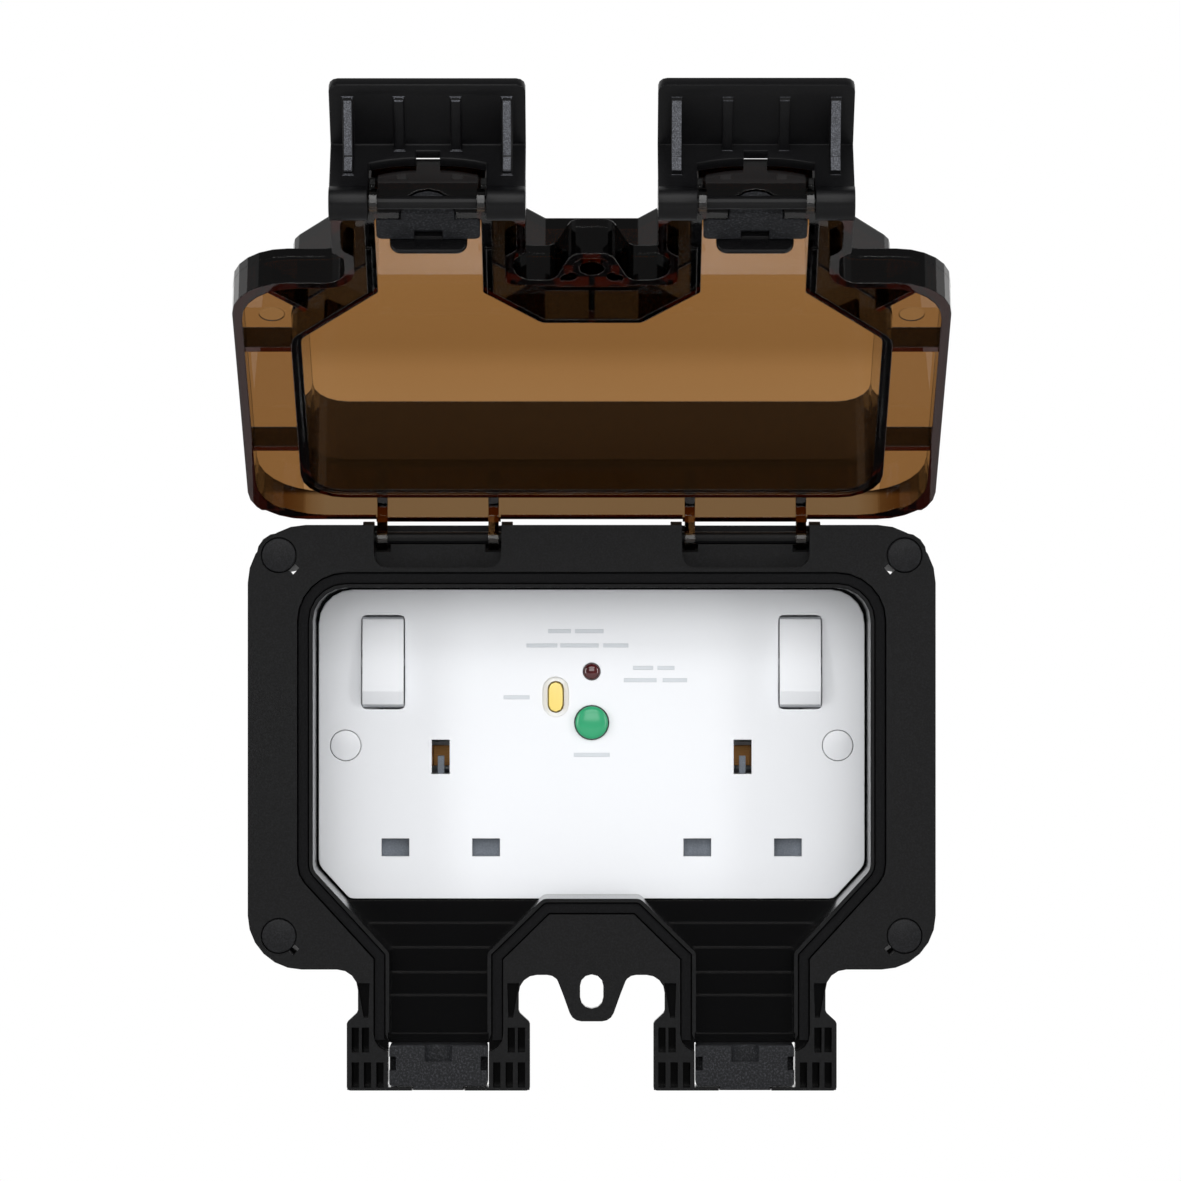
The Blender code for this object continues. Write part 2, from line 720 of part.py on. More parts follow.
def housing_masses():
    """Everything that is added up before the recess and the box are cut out."""
    rectangle = border_rectangle()
    skirt = [outline(grown(rectangle, -SUNK)), outline(grown(rectangle, -SKIRT_WALL))]
    masses = [plate("border_skirt", skirt, FRONT + UNDER_BORDER, 0.0)]
    box_outside = outline(grown(mirrored(box_half()), BOX_WALL))
    masses.append(plate("box_block", [box_outside], FRONT + UNDER_BORDER, 0.0))
    masses.append(channel_shell())
    collar = outline(grown(mirrored(recess_half()), LIP_WIDTH + GROOVE_WIDTH + GROOVE_WALL))
    masses.append(plate("groove_collar", [collar], FRONT + UNDER_BORDER,
                        FRONT + GROOVE_DEPTH + GROOVE_FLOOR))
    for side in (-1, 1):
        masses.append(ladder_block(side))
        masses.append(hinge_block(side))
        masses.append(hinge_ears(side))
    for name, x, z, _ in fixing_points():
        masses.append(rod("tube_" + name, (x, FRONT + 1.0 * MM, z), (x, 0.0, z), FIXING_TUBE))
        masses.append(rod("seat_" + name, (x, FRONT + UNDER_BORDER, z),
                          (x, FRONT + CAP_SEAT_DEPTH, z), CAP_RADIUS + CAP_SEAT_WALL))
    tab = [(-TAB_HALF_WIDTH, -ARCH_TOP + 3.0 * MM), (-TAB_HALF_WIDTH, -ARCH_TOP - 1.0 * MM),
           (-TAB_TIP_HALF_WIDTH, -TAB_END, 3.0 * MM), (TAB_TIP_HALF_WIDTH, -TAB_END, 3.0 * MM),
           (TAB_HALF_WIDTH, -ARCH_TOP - 1.0 * MM), (TAB_HALF_WIDTH, -ARCH_TOP + 3.0 * MM)]
    masses.append(plate("tab_block", [outline(grown(tab, -0.2 * MM))],
                        FRONT + UNDER_BORDER, FRONT + TAB_THICKNESS))
    return masses


def ladder_block(side):
    middle = side * TOWER_X
    half = TOWER_HALF_WIDTH - 0.1 * MM
    shape = box_outline(middle - half, middle + half, -TOWER_END + 0.1 * MM,
                        -TOWER_SHOULDER - 0.9 * MM)
    return plate("ladder_block_" + side_name(side), [shape], FRONT + UNDER_BORDER,
                 FRONT + LADDER_DEPTH)


def hinge_block(side):
    middle = side * HINGE_X
    half = HINGE_POCKET_HALF_WIDTH + HINGE_EAR_WIDTH
    shape = box_outline(middle - half, middle + half,
                        BODY_TOP - HINGE_POCKET_HEIGHT - 1.4 * MM, BODY_TOP - 0.1 * MM)
    return plate("hinge_block_" + side_name(side), [shape], FRONT + UNDER_BORDER,
                 FRONT + HINGE_POCKET_DEPTH + HINGE_POCKET_WALL)


def hinge_ears(side):
    middle = side * HINGE_X
    half = HINGE_POCKET_HALF_WIDTH + HINGE_EAR_WIDTH
    return rod("hinge_ears_" + side_name(side), (middle - half + 0.1 * MM, HINGE_Y, HINGE_Z),
               (middle + half - 0.1 * MM, HINGE_Y, HINGE_Z), HINGE_EAR_RADIUS)


def housing_hollows():
    """What is cut out of the masses: recess, box, groove, seal seats and hinge pockets."""
    recess = plate("recess_cut", [outline(mirrored(recess_half()))],
                   FRONT - OVERCUT, FACE + 0.5 * MM)
    cut(recess, channel_floor())
    hollows = [recess]
    seat = grown(mirrored(box_half()), -SEAT_STEP)
    hollows.append(plate("plate_seat", [outline(seat)], FACE - CLEARANCE,
                         PLATE_BACK + CLEARANCE))
    hollows.append(plate("box_cut", [outline(grown(seat, -PLATE_LEDGE))], PLATE_BACK,
                         -BACK_WALL))
    base = mirrored(recess_half())
    hollows.append(plate("groove_cut", [outline(grown(base, LIP_WIDTH + GROOVE_WIDTH)),
                                        outline(grown(base, LIP_WIDTH))],
                         FRONT - OVERCUT, FRONT + GROOVE_DEPTH))
    for side in (-1, 1):
        hollows.append(seal_seat(side))
        hollows.append(cable_mouth(side))
        hollows.append(hinge_pocket(side))
        hollows.append(hinge_shelf(side))
        hollows.extend(eye_reliefs(side))
        middle = side * HINGE_X
        half = HINGE_POCKET_HALF_WIDTH + HINGE_EAR_WIDTH - 0.6 * MM
        hollows.append(rod("hinge_bore_" + side_name(side), (middle - half, HINGE_Y, HINGE_Z),
                           (middle + half, HINGE_Y, HINGE_Z), HINGE_PIN_RADIUS + CLEARANCE))
    return hollows


def seal_seat(side):
    middle = side * TOWER_X
    half = CHANNEL_HALF_WIDTH + CLEARANCE
    return block("seal_seat_" + side_name(side),
                 (middle - half, FRONT - OVERCUT, -TOWER_END + SEAL_MARGIN),
                 (middle + half, FRONT + CHANNEL_DEPTH - 0.05 * MM, -CHANNEL_END + OVERCUT))


def cable_mouth(side):
    """The half-round way out through the tower's end wall."""
    middle = side * TOWER_X
    return rod("cable_mouth_" + side_name(side), (middle, FRONT, -TOWER_END - OVERCUT),
               (middle, FRONT, -TOWER_END + SEAL_MARGIN + OVERCUT), LID_SEAL_NOSE + 0.5 * MM)


def hinge_pocket(side):
    middle = side * HINGE_X
    half = HINGE_POCKET_HALF_WIDTH
    return block("hinge_pocket_" + side_name(side),
                 (middle - half, FRONT - OVERCUT,
                  BODY_TOP - HINGE_POCKET_HEIGHT + HINGE_SHELF_HEIGHT),
                 (middle + half, FRONT + HINGE_POCKET_DEPTH, BODY_TOP + 3.0 * MM))


def hinge_shelf(side):
    middle = side * HINGE_X
    half = HINGE_POCKET_HALF_WIDTH - 0.05 * MM
    floor = BODY_TOP - HINGE_POCKET_HEIGHT
    shape = outline([(middle - half, floor, 3.0 * MM), (middle + half, floor, 3.0 * MM),
                     (middle + half, floor + HINGE_SHELF_HEIGHT + 2.0 * MM),
                     (middle - half, floor + HINGE_SHELF_HEIGHT + 2.0 * MM)])
    return plate("hinge_shelf_" + side_name(side), [shape], FRONT - OVERCUT,
                 FRONT + HINGE_SHELF_DEPTH)


def eye_reliefs(side):
    """Round troughs in the shelf, where the eyes of the lid's arms turn."""
    reliefs = []
    for flip in (-1, 1):
        outer = side * HINGE_X + flip * (HINGE_POCKET_HALF_WIDTH - 0.02 * MM)
        inner = outer - flip * (HINGE_ARM_THICKNESS + 1.4 * MM)
        reliefs.append(rod(f"eye_relief_{side}_{flip}", (inner, HINGE_Y, HINGE_Z),
                           (outer, HINGE_Y, HINGE_Z), HINGE_ARM_RADIUS + 2 * CLEARANCE))
    return reliefs


def ladder_pockets(side):
    """Blind slots that lighten each tower, in two rows, with a wedge above them."""
    pockets = []
    deep = FRONT + LADDER_DEPTH - LADDER_FLOOR
    middle = side * TOWER_X
    for flip in (-1, 1):
        for row, (low, high, offsets) in enumerate(LADDER_ROWS):
            for index, across in enumerate(offsets):
                x = middle + flip * across
                name = f"pocket_{side_name(side)}_{flip}_{row}_{index}"
                pockets.append(block(name, (x - LADDER_SLOT / 2, FRONT - OVERCUT, low),
                                     (x + LADDER_SLOT / 2, deep, high)))
        wedge = [(middle + flip * across, -down) for across, down in WEDGE_CORNERS]
        pockets.append(plate(f"wedge_{side_name(side)}_{flip}", [wedge], FRONT - OVERCUT,
                             FRONT + WEDGE_DEPTH))
    return pockets


def fixing_cuts():
    cuts = []
    for name, x, z, inward in fixing_points():
        cuts.append(rod("bore_" + name, (x, FRONT - OVERCUT, z), (x, OVERCUT, z), FIXING_BORE,
                        sides=12))
        cuts.append(rod("sink_" + name, (x, FRONT - OVERCUT, z),
                        (x, FRONT + CAP_THICKNESS + CLEARANCE, z), CAP_RADIUS + CAP_FIT,
                        sides=24))
        reach = CAP_RADIUS + PRY_SLOT_LENGTH / 2
        angle = math.radians(PRY_SLOT_ANGLE)
        direction = Vector((inward * math.sin(angle), math.cos(angle)))
        middle = Vector((x, z)) + direction * reach
        along = direction * PRY_SLOT_LENGTH / 2
        across = Vector((-direction.y, direction.x)) * PRY_SLOT_WIDTH / 2
        shape = [middle - along - across, middle + along - across,
                 middle + along + across, middle - along + across]
        cuts.append(plate("pry_slot_" + name, [shape], FRONT - OVERCUT, FRONT + PRY_SLOT_DEPTH))
    return cuts


def rear_housing():
    """The whole black moulding: border, skirt, wiring box, channels, towers, tab and ears."""
    housing = plate("rear_housing", [outline(mirrored(body_half()))], FRONT,
                    FRONT + BORDER_THICKNESS, black_abs())
    join(housing, *housing_masses())
    cut(housing, *housing_hollows())
    lugs = []
    for side in (-1, 1):
        x = side * PLATE_FIXING_PITCH / 2
        lugs.append(rod("plate_lug_" + side_name(side), (x, -BACK_WALL + 0.5 * MM, PLATE_FIXING_Z),
                        (x, FACE + PLATE_BOSS_DEPTH + CLEARANCE, PLATE_FIXING_Z),
                        PLATE_LUG_RADIUS))
    join(housing, *lugs, label="lugs")
    details = fixing_cuts()
    for side in (-1, 1):
        details.extend(ladder_pockets(side))
        x = side * PLATE_FIXING_PITCH / 2
        details.append(rod("lug_bore_" + side_name(side), (x, FACE, PLATE_FIXING_Z),
                           (x, -BACK_WALL - 3.0 * MM, PLATE_FIXING_Z),
                           PLATE_SCREW_RADIUS + CLEARANCE, sides=12))
    slot = box_outline(-PADLOCK_WIDTH / 2, PADLOCK_WIDTH / 2, PADLOCK_Z - PADLOCK_HEIGHT / 2,
                       PADLOCK_Z + PADLOCK_HEIGHT / 2, 0.48 * PADLOCK_WIDTH)
    details.append(plate("padlock_slot", [slot], FRONT - OVERCUT,
                         FRONT + TAB_THICKNESS + OVERCUT))
    cut(housing, *details, label="details")
    return housing


def corner_cap(name, x, z):
    """A push-in cover over a wall fixing, with the short stem that holds it."""
    back = FRONT + CAP_THICKNESS
    cap = rod("corner_cap_" + name, (x, FRONT, z), (x, back, z), CAP_RADIUS - CAP_FIT,
              black_abs(), sides=24)
    stem = rod("stem_" + name, (x, back - CAP_THICKNESS / 2, z), (x, back + CAP_STEM_LENGTH, z),
               CAP_STEM_RADIUS, sides=12)
    return join(cap, stem)


def groove_path():
    """The groove's course outside the towers, from one channel's seal round to the other's."""
    half = recess_half()
    left = [(half[4][0], -CHANNEL_END - LIP_WIDTH)] + [half[3], half[2], half[1]]
    return mirrored_path(left)


def mirrored_path(left):
    """A whole path from the left part of it, turned so that it runs anticlockwise."""
    right = [(-corner[0], *corner[1:]) for corner in left]
    return right + list(reversed(left))


def middle_path():
    """The groove's course between the two channels."""
    half = recess_half()
    left = [(half[5][0], -CHANNEL_END - LIP_WIDTH), half[6], half[7]]
    right = [(-corner[0], *corner[1:]) for corner in reversed(left)]
    return left + right


def gaskets():
    """Two soft strips in the groove: one round the sides and top, one between the towers."""
    inner = LIP_WIDTH + CLEARANCE
    outer = LIP_WIDTH + GROOVE_WIDTH - CLEARANCE
    bottom = FRONT + GROOVE_DEPTH - CLEARANCE
    top = bottom - GASKET_HEIGHT
    plate("gasket_outer", [ribbon(groove_path(), inner, outer)], top, bottom, black_rubber())
    plate("gasket_middle", [ribbon(middle_path(), inner, outer)], top, bottom, black_rubber())


def base_cable_seal(side):
    """The housing's half of a cable seal: a soft block with a blind half bore and two keyways."""
    middle = side * TOWER_X
    name = side_name(side)
    half = CHANNEL_HALF_WIDTH
    low = -TOWER_END + SEAL_MARGIN + CLEARANCE
    high = low + SEAL_LENGTH - CLEARANCE
    shape = box_outline(middle - half, middle + half, low, high, 0.6 * MM)
    seal = plate("base_cable_seal_" + name, [shape], FRONT, FRONT + SEAL_DEPTH, black_rubber())
    sunk = FRONT - 0.07 * MM
    tools = [rod("bore", (middle, sunk, high + OVERCUT),
                 (middle, sunk, high - SEAL_BORE_LENGTH), SEAL_BORE)]
    for flip in (-1, 1):
        edge = middle + flip * half
        inner = edge - flip * KEYWAY_DEPTH
        tools.append(block("keyway", (min(edge, inner) - SUNK, FRONT - OVERCUT, high - KEYWAY_LOW),
                           (max(edge, inner) + SUNK, FRONT + KEYWAY_REACH, high - KEYWAY_HIGH)))
    cut(seal, *tools)
    nose = rod("nose", (middle, FRONT + 0.02 * MM, -TOWER_END + 0.1 * MM),
               (middle, FRONT + 0.02 * MM, low + OVERCUT), LID_SEAL_NOSE)
    front_half = block("front", (middle - 9 * MM, FRONT - 9 * MM, -TOWER_END - OVERCUT),
                       (middle + 9 * MM, FRONT + 0.01 * MM, low + 2 * OVERCUT))
    cut(nose, front_half)
    return join(seal, nose, label="nose")


def hinge_pin(side):
    middle = side * HINGE_X
    half = HINGE_POCKET_HALF_WIDTH + HINGE_EAR_WIDTH - 0.6 * MM - CLEARANCE
    return rod("hinge_pin_" + side_name(side), (middle - half, HINGE_Y, HINGE_Z),
               (middle + half, HINGE_Y, HINGE_Z), HINGE_PIN_RADIUS, black_nylon(), sides=12)


def channel_hood(grow, depth, back, label):
    """The chamber's plan carried over the channels and cut to the hood's slope."""
    half = recess_half()
    half[4] = (half[4][0], -TOWER_END + CHAMBER_WALL, 0.6 * MM)
    half[5] = (half[5][0], -TOWER_END + CHAMBER_WALL, 0.6 * MM)
    shape = grown(mirrored(half), grow)
    front = RIM - depth
    solid = plate(label, [outline(shape)], front, back)
    if CHAMBER_DEPTH - depth < 0.01 * MM:
        round_front(solid, front)
    fall = (CHAMBER_DEPTH - HOOD_END_DEPTH) / (TOWER_END - HOOD_START)
    beyond = 3 * MM
    slope = [(front, -HOOD_START), (front - beyond, -HOOD_START),
             (front - beyond, -TOWER_END - beyond),
             (front + fall * (TOWER_END + beyond - HOOD_START), -TOWER_END - beyond)]
    return cut(solid, slice_x("hood_slope", [slope], -BODY_HALF_WIDTH, BODY_HALF_WIDTH))


def round_front(solid, front):
    """Bevel the edges round the chamber's front."""
    edit = bmesh.new()
    edit.from_mesh(solid.data)
    rim = [edge for edge in edit.edges
           if all(abs(vertex.co.y - front) < 0.01 * MM for vertex in edge.verts)
           and len(edge.link_faces) == 2
           and abs(edge.link_faces[0].normal.dot(edge.link_faces[1].normal)) < 0.5]
    bmesh.ops.bevel(edit, geom=rim, offset=CHAMBER_EDGE_RADIUS, segments=3, profile=0.5,
                    affect="EDGES", clamp_overlap=True)
    edit.to_mesh(solid.data)
    edit.free()


def lid_shell():
    """The smoked moulding: border, skirt, deep chamber with hoods, hinge arms, ribs and lug."""
    body = mirrored(body_half())
    border = RIM - LID_BORDER_DEPTH
    lid = plate("lid_shell", [outline(body)], border, border + LID_WALL, smoked_polycarbonate())
    masses = [plate("skirt", [outline(grown(body, -SUNK)), outline(grown(body, -LID_WALL))],
                    border + UNDER_BORDER, RIM)]
    tongue = RIM + CHAMBER_TONGUE
    masses.append(channel_hood(LIP_WIDTH + CHAMBER_MARGIN, CHAMBER_DEPTH, tongue, "chamber"))
    for side in (-1, 1):
        masses.extend(hinge_arms(side))
        masses.extend(latch_ears(side))
        masses.extend(side_ribs(side))
    masses.append(lug())
    masses.append(middle_rib())
    join(lid, *masses)
    hollow = channel_hood(LIP_WIDTH + CHAMBER_MARGIN - CHAMBER_WALL, CHAMBER_DEPTH - CHAMBER_WALL,
                          tongue + OVERCUT, "chamber_hollow")
    tools = []
    for side in (-1, 1):
        middle = side * TOWER_X
        tools.append(rod("lid_mouth_" + side_name(side), (middle, RIM, -TOWER_END - OVERCUT),
                         (middle, RIM, -TOWER_END + CHAMBER_WALL + OVERCUT),
                         LID_SEAL_NOSE + 0.4 * MM))
        tools.append(block("tongue_end_" + side_name(side),
                           (middle - TOWER_NECK, RIM, -TOWER_END - OVERCUT),
                           (middle + TOWER_NECK, tongue + 2 * OVERCUT, -CHANNEL_END + OVERCUT)))
    tools.extend(ejector_marks())
    tools.append(tongue_step())
    tools.extend(rim_reliefs())
    cut(lid, hollow, label="hollow")
    cut(lid, *tools, label="mouths")
    holes = [rod("lug_hole", (0, border - OVERCUT, PADLOCK_Z), (0, FRONT, PADLOCK_Z), LUG_HOLE)]
    for side in (-1, 1):
        x = side * LUG_SIDE_HOLE_X
        holes.append(rod("lug_side_hole", (x, RIM - 6 * MM, LUG_SIDE_HOLE_Z),
                         (x, FRONT, LUG_SIDE_HOLE_Z), LUG_SIDE_HOLE, sides=12))
        left, right = (side * HINGE_X + flip * HINGE_POCKET_HALF_WIDTH for flip in (-1, 1))
        holes.append(rod("hinge_hole", (left, HINGE_Y, HINGE_Z), (right, HINGE_Y, HINGE_Z),
                         HINGE_PIN_RADIUS + CLEARANCE, sides=12))
        left, right = (side * TOWER_X + flip * LATCH_GAP_HALF_WIDTH for flip in (-1, 1))
        holes.append(rod("latch_hole", (left, LATCH_Y, LATCH_Z), (right, LATCH_Y, LATCH_Z),
                         LATCH_PIN_RADIUS + CLEARANCE, sides=12))
    return cut(lid, *holes, label="holes")


def tongue_step():
    """What leaves the tongue only outside the housing's lip, which the rim then rests above."""
    shape = grown(mirrored(recess_half()), LIP_WIDTH + CLEARANCE)
    return plate("tongue_step", [outline(shape)], RIM - SUNK, RIM + CHAMBER_TONGUE + OVERCUT)


def rim_reliefs():
    """The rim stands back along the top, or it would dig into the border as the lid turns."""
    outer = HINGE_X + HINGE_POCKET_HALF_WIDTH - CLEARANCE
    inner = HINGE_X - HINGE_POCKET_HALF_WIDTH + CLEARANCE
    beyond = BODY_HALF_WIDTH + OVERCUT
    reliefs = []
    for low, high in ((-beyond, -outer), (-inner, inner), (outer, beyond)):
        reliefs.append(block("rim_relief", (low, RIM - RIM_RELIEF, BODY_TOP - RIM_RELIEF_HEIGHT),
                             (high, RIM + OVERCUT, BODY_TOP + OVERCUT)))
    return reliefs


def half_round(across, up, radius, crown):
    """Points of a half circle, anticlockwise, whose crown lies in the direction given."""
    steps = 10
    turns = (crown + math.pi * (step / steps - 0.5) for step in range(steps + 1))
    return [(across + radius * math.cos(turn), up + radius * math.sin(turn)) for turn in turns]


def hinge_arms(side):
    """Two arms that run down from the border to rounded eyes on the hinge axis."""
    arms = []
    border = RIM - LID_BORDER_DEPTH
    eye = half_round(HINGE_Y, HINGE_Z, HINGE_ARM_RADIUS, 0.0)
    root = HINGE_Z - HINGE_ARM_ROOT
    profile = [(border + UNDER_BORDER, root), (RIM - 2.0 * MM, root),
               (RIM, HINGE_Z - HINGE_ARM_RADIUS - 1.0 * MM), *eye,
               (border + UNDER_BORDER, BODY_TOP - 0.1 * MM)]
    for flip in (-1, 1):
        outer = side * HINGE_X + flip * (HINGE_POCKET_HALF_WIDTH - 0.7 * MM)
        inner = outer - flip * HINGE_ARM_THICKNESS
        arms.append(slice_x(f"hinge_arm_{side_name(side)}_{flip}", [profile],
                            min(outer, inner), max(outer, inner)))
    return arms


def latch_ears(side):
    """Two eyes beyond the tower's end wall that hold a latch pin."""
    ears = []
    wall = -TOWER_END + 0.5 * MM
    eye = half_round(LATCH_Y, LATCH_Z, LATCH_EAR_RADIUS, -math.pi / 2)
    profile = [*eye, (RIM, wall), (LATCH_Y - LATCH_EAR_FOOT, wall)]
    for flip in (-1, 1):
        outer = side * TOWER_X + flip * (LATCH_GAP_HALF_WIDTH - CLEARANCE)
        inner = outer - flip * LATCH_EAR_WIDTH
        ears.append(slice_x(f"latch_ear_{side_name(side)}_{flip}", [profile],
                            min(outer, inner), max(outer, inner)))
    return ears


def side_ribs(side):
    """Ribs between the chamber and the skirt: two across each side and one at each corner."""
    ribs = []
    low = RIM - LID_BORDER_DEPTH + UNDER_BORDER
    high = low + RIB_HEIGHT
    inner = RECESS_HALF_WIDTH + LIP_WIDTH + 1.0 * MM
    outer = BODY_HALF_WIDTH - 0.5 * MM
    for up in (-1, 1):
        z = up * SIDE_RIB_Z
        ribs.append(block(f"side_rib_{side}_{up}",
                          (min(side * inner, side * outer), low, z - SIDE_RIB_THICKNESS / 2),
                          (max(side * inner, side * outer), high, z + SIDE_RIB_THICKNESS / 2)))
    near = Vector((side * (RECESS_HALF_WIDTH - 1.3 * MM), -RECESS_SIDE_END - 9.6 * MM))
    far = Vector((side * (BODY_HALF_WIDTH - 6.6 * MM), BODY_BOTTOM + 4.2 * MM))
    across = (far - near).normalized().orthogonal() * CORNER_RIB_THICKNESS / 2
    ribs.append(plate(f"corner_rib_{side}", [[near - across, far - across, far + across,
                                              near + across]], low, high))
    return ribs


def middle_rib():
    """The short rib that ties the padlock lug to the chamber."""
    half = CORNER_RIB_THICKNESS / 2
    low = RIM - LID_BORDER_DEPTH + UNDER_BORDER
    return block("middle_rib", (-half, low, -ARCH_TOP + 3.0 * MM),
                 (half, low + RIB_HEIGHT, -RECESS_BOTTOM - LIP_WIDTH - 1.0 * MM))


def ejector_marks():
    """The shallow round marks that the ejector pins leave on the border's inner face."""
    face = RIM - LID_BORDER_DEPTH + LID_WALL
    marks = []
    for side in (-1, 1):
        x = side * (BODY_HALF_WIDTH - EJECTOR_INSET)
        marks.append(rod("ejector_mark", (x, face - EJECTOR_DEPTH, EJECTOR_Z),
                         (x, face + OVERCUT, EJECTOR_Z), EJECTOR_RADIUS))
    return marks


def lug():
    """The padlock lug at the lid's free edge, thicker than the border."""
    shape = [(-TAB_HALF_WIDTH, -ARCH_TOP + 4.0 * MM), (-TAB_HALF_WIDTH, -ARCH_TOP - 1.0 * MM),
             (-TAB_TIP_HALF_WIDTH, -TAB_END, 3.0 * MM), (TAB_TIP_HALF_WIDTH, -TAB_END, 3.0 * MM),
             (TAB_HALF_WIDTH, -ARCH_TOP - 1.0 * MM), (TAB_HALF_WIDTH, -ARCH_TOP + 4.0 * MM)]
    return plate("lug", [outline(grown(shape, -0.3 * MM))], RIM - LID_BORDER_DEPTH + 0.6 * MM,
                 RIM - 0.6 * MM)


def lid_cable_seal(side):
    """The lid's half of a cable seal, with the half disc that closes the way out."""
    middle = side * TOWER_X
    half = CHANNEL_HALF_WIDTH + LIP_WIDTH + CHAMBER_MARGIN - CHAMBER_WALL - CLEARANCE
    low = -TOWER_END + CHAMBER_WALL + CLEARANCE
    high = -CHANNEL_END - 2.4 * MM
    shape = box_outline(middle - half, middle + half, low, high, 1.2 * MM)
    seal = plate("lid_cable_seal_" + side_name(side), [shape], RIM - LID_SEAL_DEPTH, RIM,
                 black_rubber())
    notch = block("notch", (middle - 3.25 * MM, RIM - 2.0 * MM, high - 3.6 * MM),
                  (middle + 3.25 * MM, RIM + OVERCUT, high + OVERCUT))
    cut(seal, notch)
    nose = rod("nose", (middle, RIM - 0.02 * MM, -TOWER_END + 0.1 * MM),
               (middle, RIM - 0.02 * MM, low + OVERCUT), LID_SEAL_NOSE)
    back_half = block("back", (middle - 9 * MM, RIM - 0.01 * MM, -TOWER_END - OVERCUT),
                      (middle + 9 * MM, RIM + 9 * MM, low + 2 * OVERCUT))
    cut(nose, back_half)
    return join(seal, nose, label="nose")


def latch(side):
    """An L-shaped latch: arm with pivot barrels and a window, paddle, and four gussets."""
    middle = side * TOWER_X
    low_z = LATCH_Z - LATCH_PLATE_BELOW
    high_z = low_z + LATCH_PLATE
    end = LATCH_Y + LATCH_ARM
    arm = [(middle - LATCH_HALF_WIDTH, LATCH_Y - 1.0 * MM),
           (middle + LATCH_HALF_WIDTH, LATCH_Y - 1.0 * MM),
           (middle + LATCH_HALF_WIDTH, end - 0.02 * MM),
           (middle - LATCH_HALF_WIDTH, end - 0.02 * MM)]
    piece = slice_z("latch_" + side_name(side), [outline(arm)], low_z, high_z, black_abs())
    wide = LATCH_HALF_WIDTH
    paddle = outline([(middle - wide, low_z), (middle + wide, low_z),
                      (middle + wide, low_z + LATCH_PADDLE + 0.6 * MM, LATCH_CORNER),
                      (middle - wide, low_z + LATCH_PADDLE + 0.6 * MM, LATCH_CORNER)])
    masses = [plate("paddle", [paddle], end - LATCH_PLATE, end)]
    for flip in (-1, 1):
        inner = middle + flip * LATCH_GAP_HALF_WIDTH
        outer = middle + flip * wide
        masses.append(slice_x(f"barrel_{flip}", [barrel_profile()], min(inner, outer),
                              max(inner, outer)))
        for across, height in ((GUSSET_OUTER_X, GUSSET_OUTER_HEIGHT),
                               (GUSSET_INNER_X, GUSSET_INNER_HEIGHT)):
            x = middle + flip * across
            masses.append(gusset(x, end - LATCH_PLATE, high_z, height))
    join(piece, *masses)
    window = window_outline(middle)
    pin_way = rod("pin_way", (middle - wide + 0.8 * MM, LATCH_Y, LATCH_Z),
                  (middle + wide - 0.8 * MM, LATCH_Y, LATCH_Z), LATCH_PIN_RADIUS + CLEARANCE,
                  sides=12)
    return cut(piece, slice_z("window", [window], low_z - OVERCUT, high_z + OVERCUT), pin_way)


def barrel_profile():
    """A pivot barrel's section, round but for one nearly square corner to the front and below."""
    round_off = LATCH_BARREL
    low = (LATCH_Y - LATCH_BARREL, LATCH_Z - LATCH_BARREL)
    high = (LATCH_Y + LATCH_BARREL, LATCH_Z + LATCH_BARREL)
    return outline([(low[0], low[1], LATCH_BARREL_CORNER), (high[0], low[1], round_off),
                    (high[0], high[1], round_off), (low[0], high[1], round_off)])


def window_outline(middle):
    """The window between the barrels, whose far edge bows out to a small notch."""
    gap = LATCH_GAP_HALF_WIDTH
    notch = LATCH_NOTCH_HALF_WIDTH
    far = []
    for flip in (1, -1):
        bow = [(middle + flip * gap, LATCH_Y + LATCH_WINDOW_SIDE)]
        for step in range(1, 5):
            share = step / 4
            rise = math.sin(share * math.pi / 2)
            bow.append((middle + flip * (gap + (notch - gap) * share),
                        LATCH_Y + LATCH_WINDOW_SIDE
                        + (LATCH_WINDOW_MIDDLE - LATCH_WINDOW_SIDE) * rise))
        bow.append((middle + flip * notch, LATCH_Y + LATCH_NOTCH))
        far.extend(bow if flip > 0 else reversed(bow))
    near = LATCH_Y - LATCH_BARREL - OVERCUT
    return [(middle - gap, near), (middle + gap, near)] + far


def gusset(x, y_inner, z_inner, height):
    """A web between arm and paddle, waisted where the shut latch passes the tower's corner."""
    half = GUSSET_THICKNESS / 2
    sunk = 0.3 * MM
    tip = z_inner + GUSSET_LENGTH
    front = y_inner - height
    knee = (FRONT + LADDER_DEPTH + 1.5 * CLEARANCE, -TOWER_END - CLEARANCE)
    waist = [knee] if front < knee[0] else []
    profile = [(y_inner + sunk, z_inner - sunk), (y_inner + sunk, tip + 0.8 * MM),
               (y_inner - 0.6 * MM, tip), *waist, (front, z_inner + GUSSET_TOE),
               (front, z_inner - sunk)]
    return slice_x("gusset", [profile], x - half, x + half)


def latch_pin(side):
    middle = side * TOWER_X
    half = LATCH_HALF_WIDTH - 0.8 * MM - CLEARANCE
    return rod("latch_pin_" + side_name(side), (middle - half, LATCH_Y, LATCH_Z),
               (middle + half, LATCH_Y, LATCH_Z), LATCH_PIN_RADIUS, black_nylon(), sides=12)


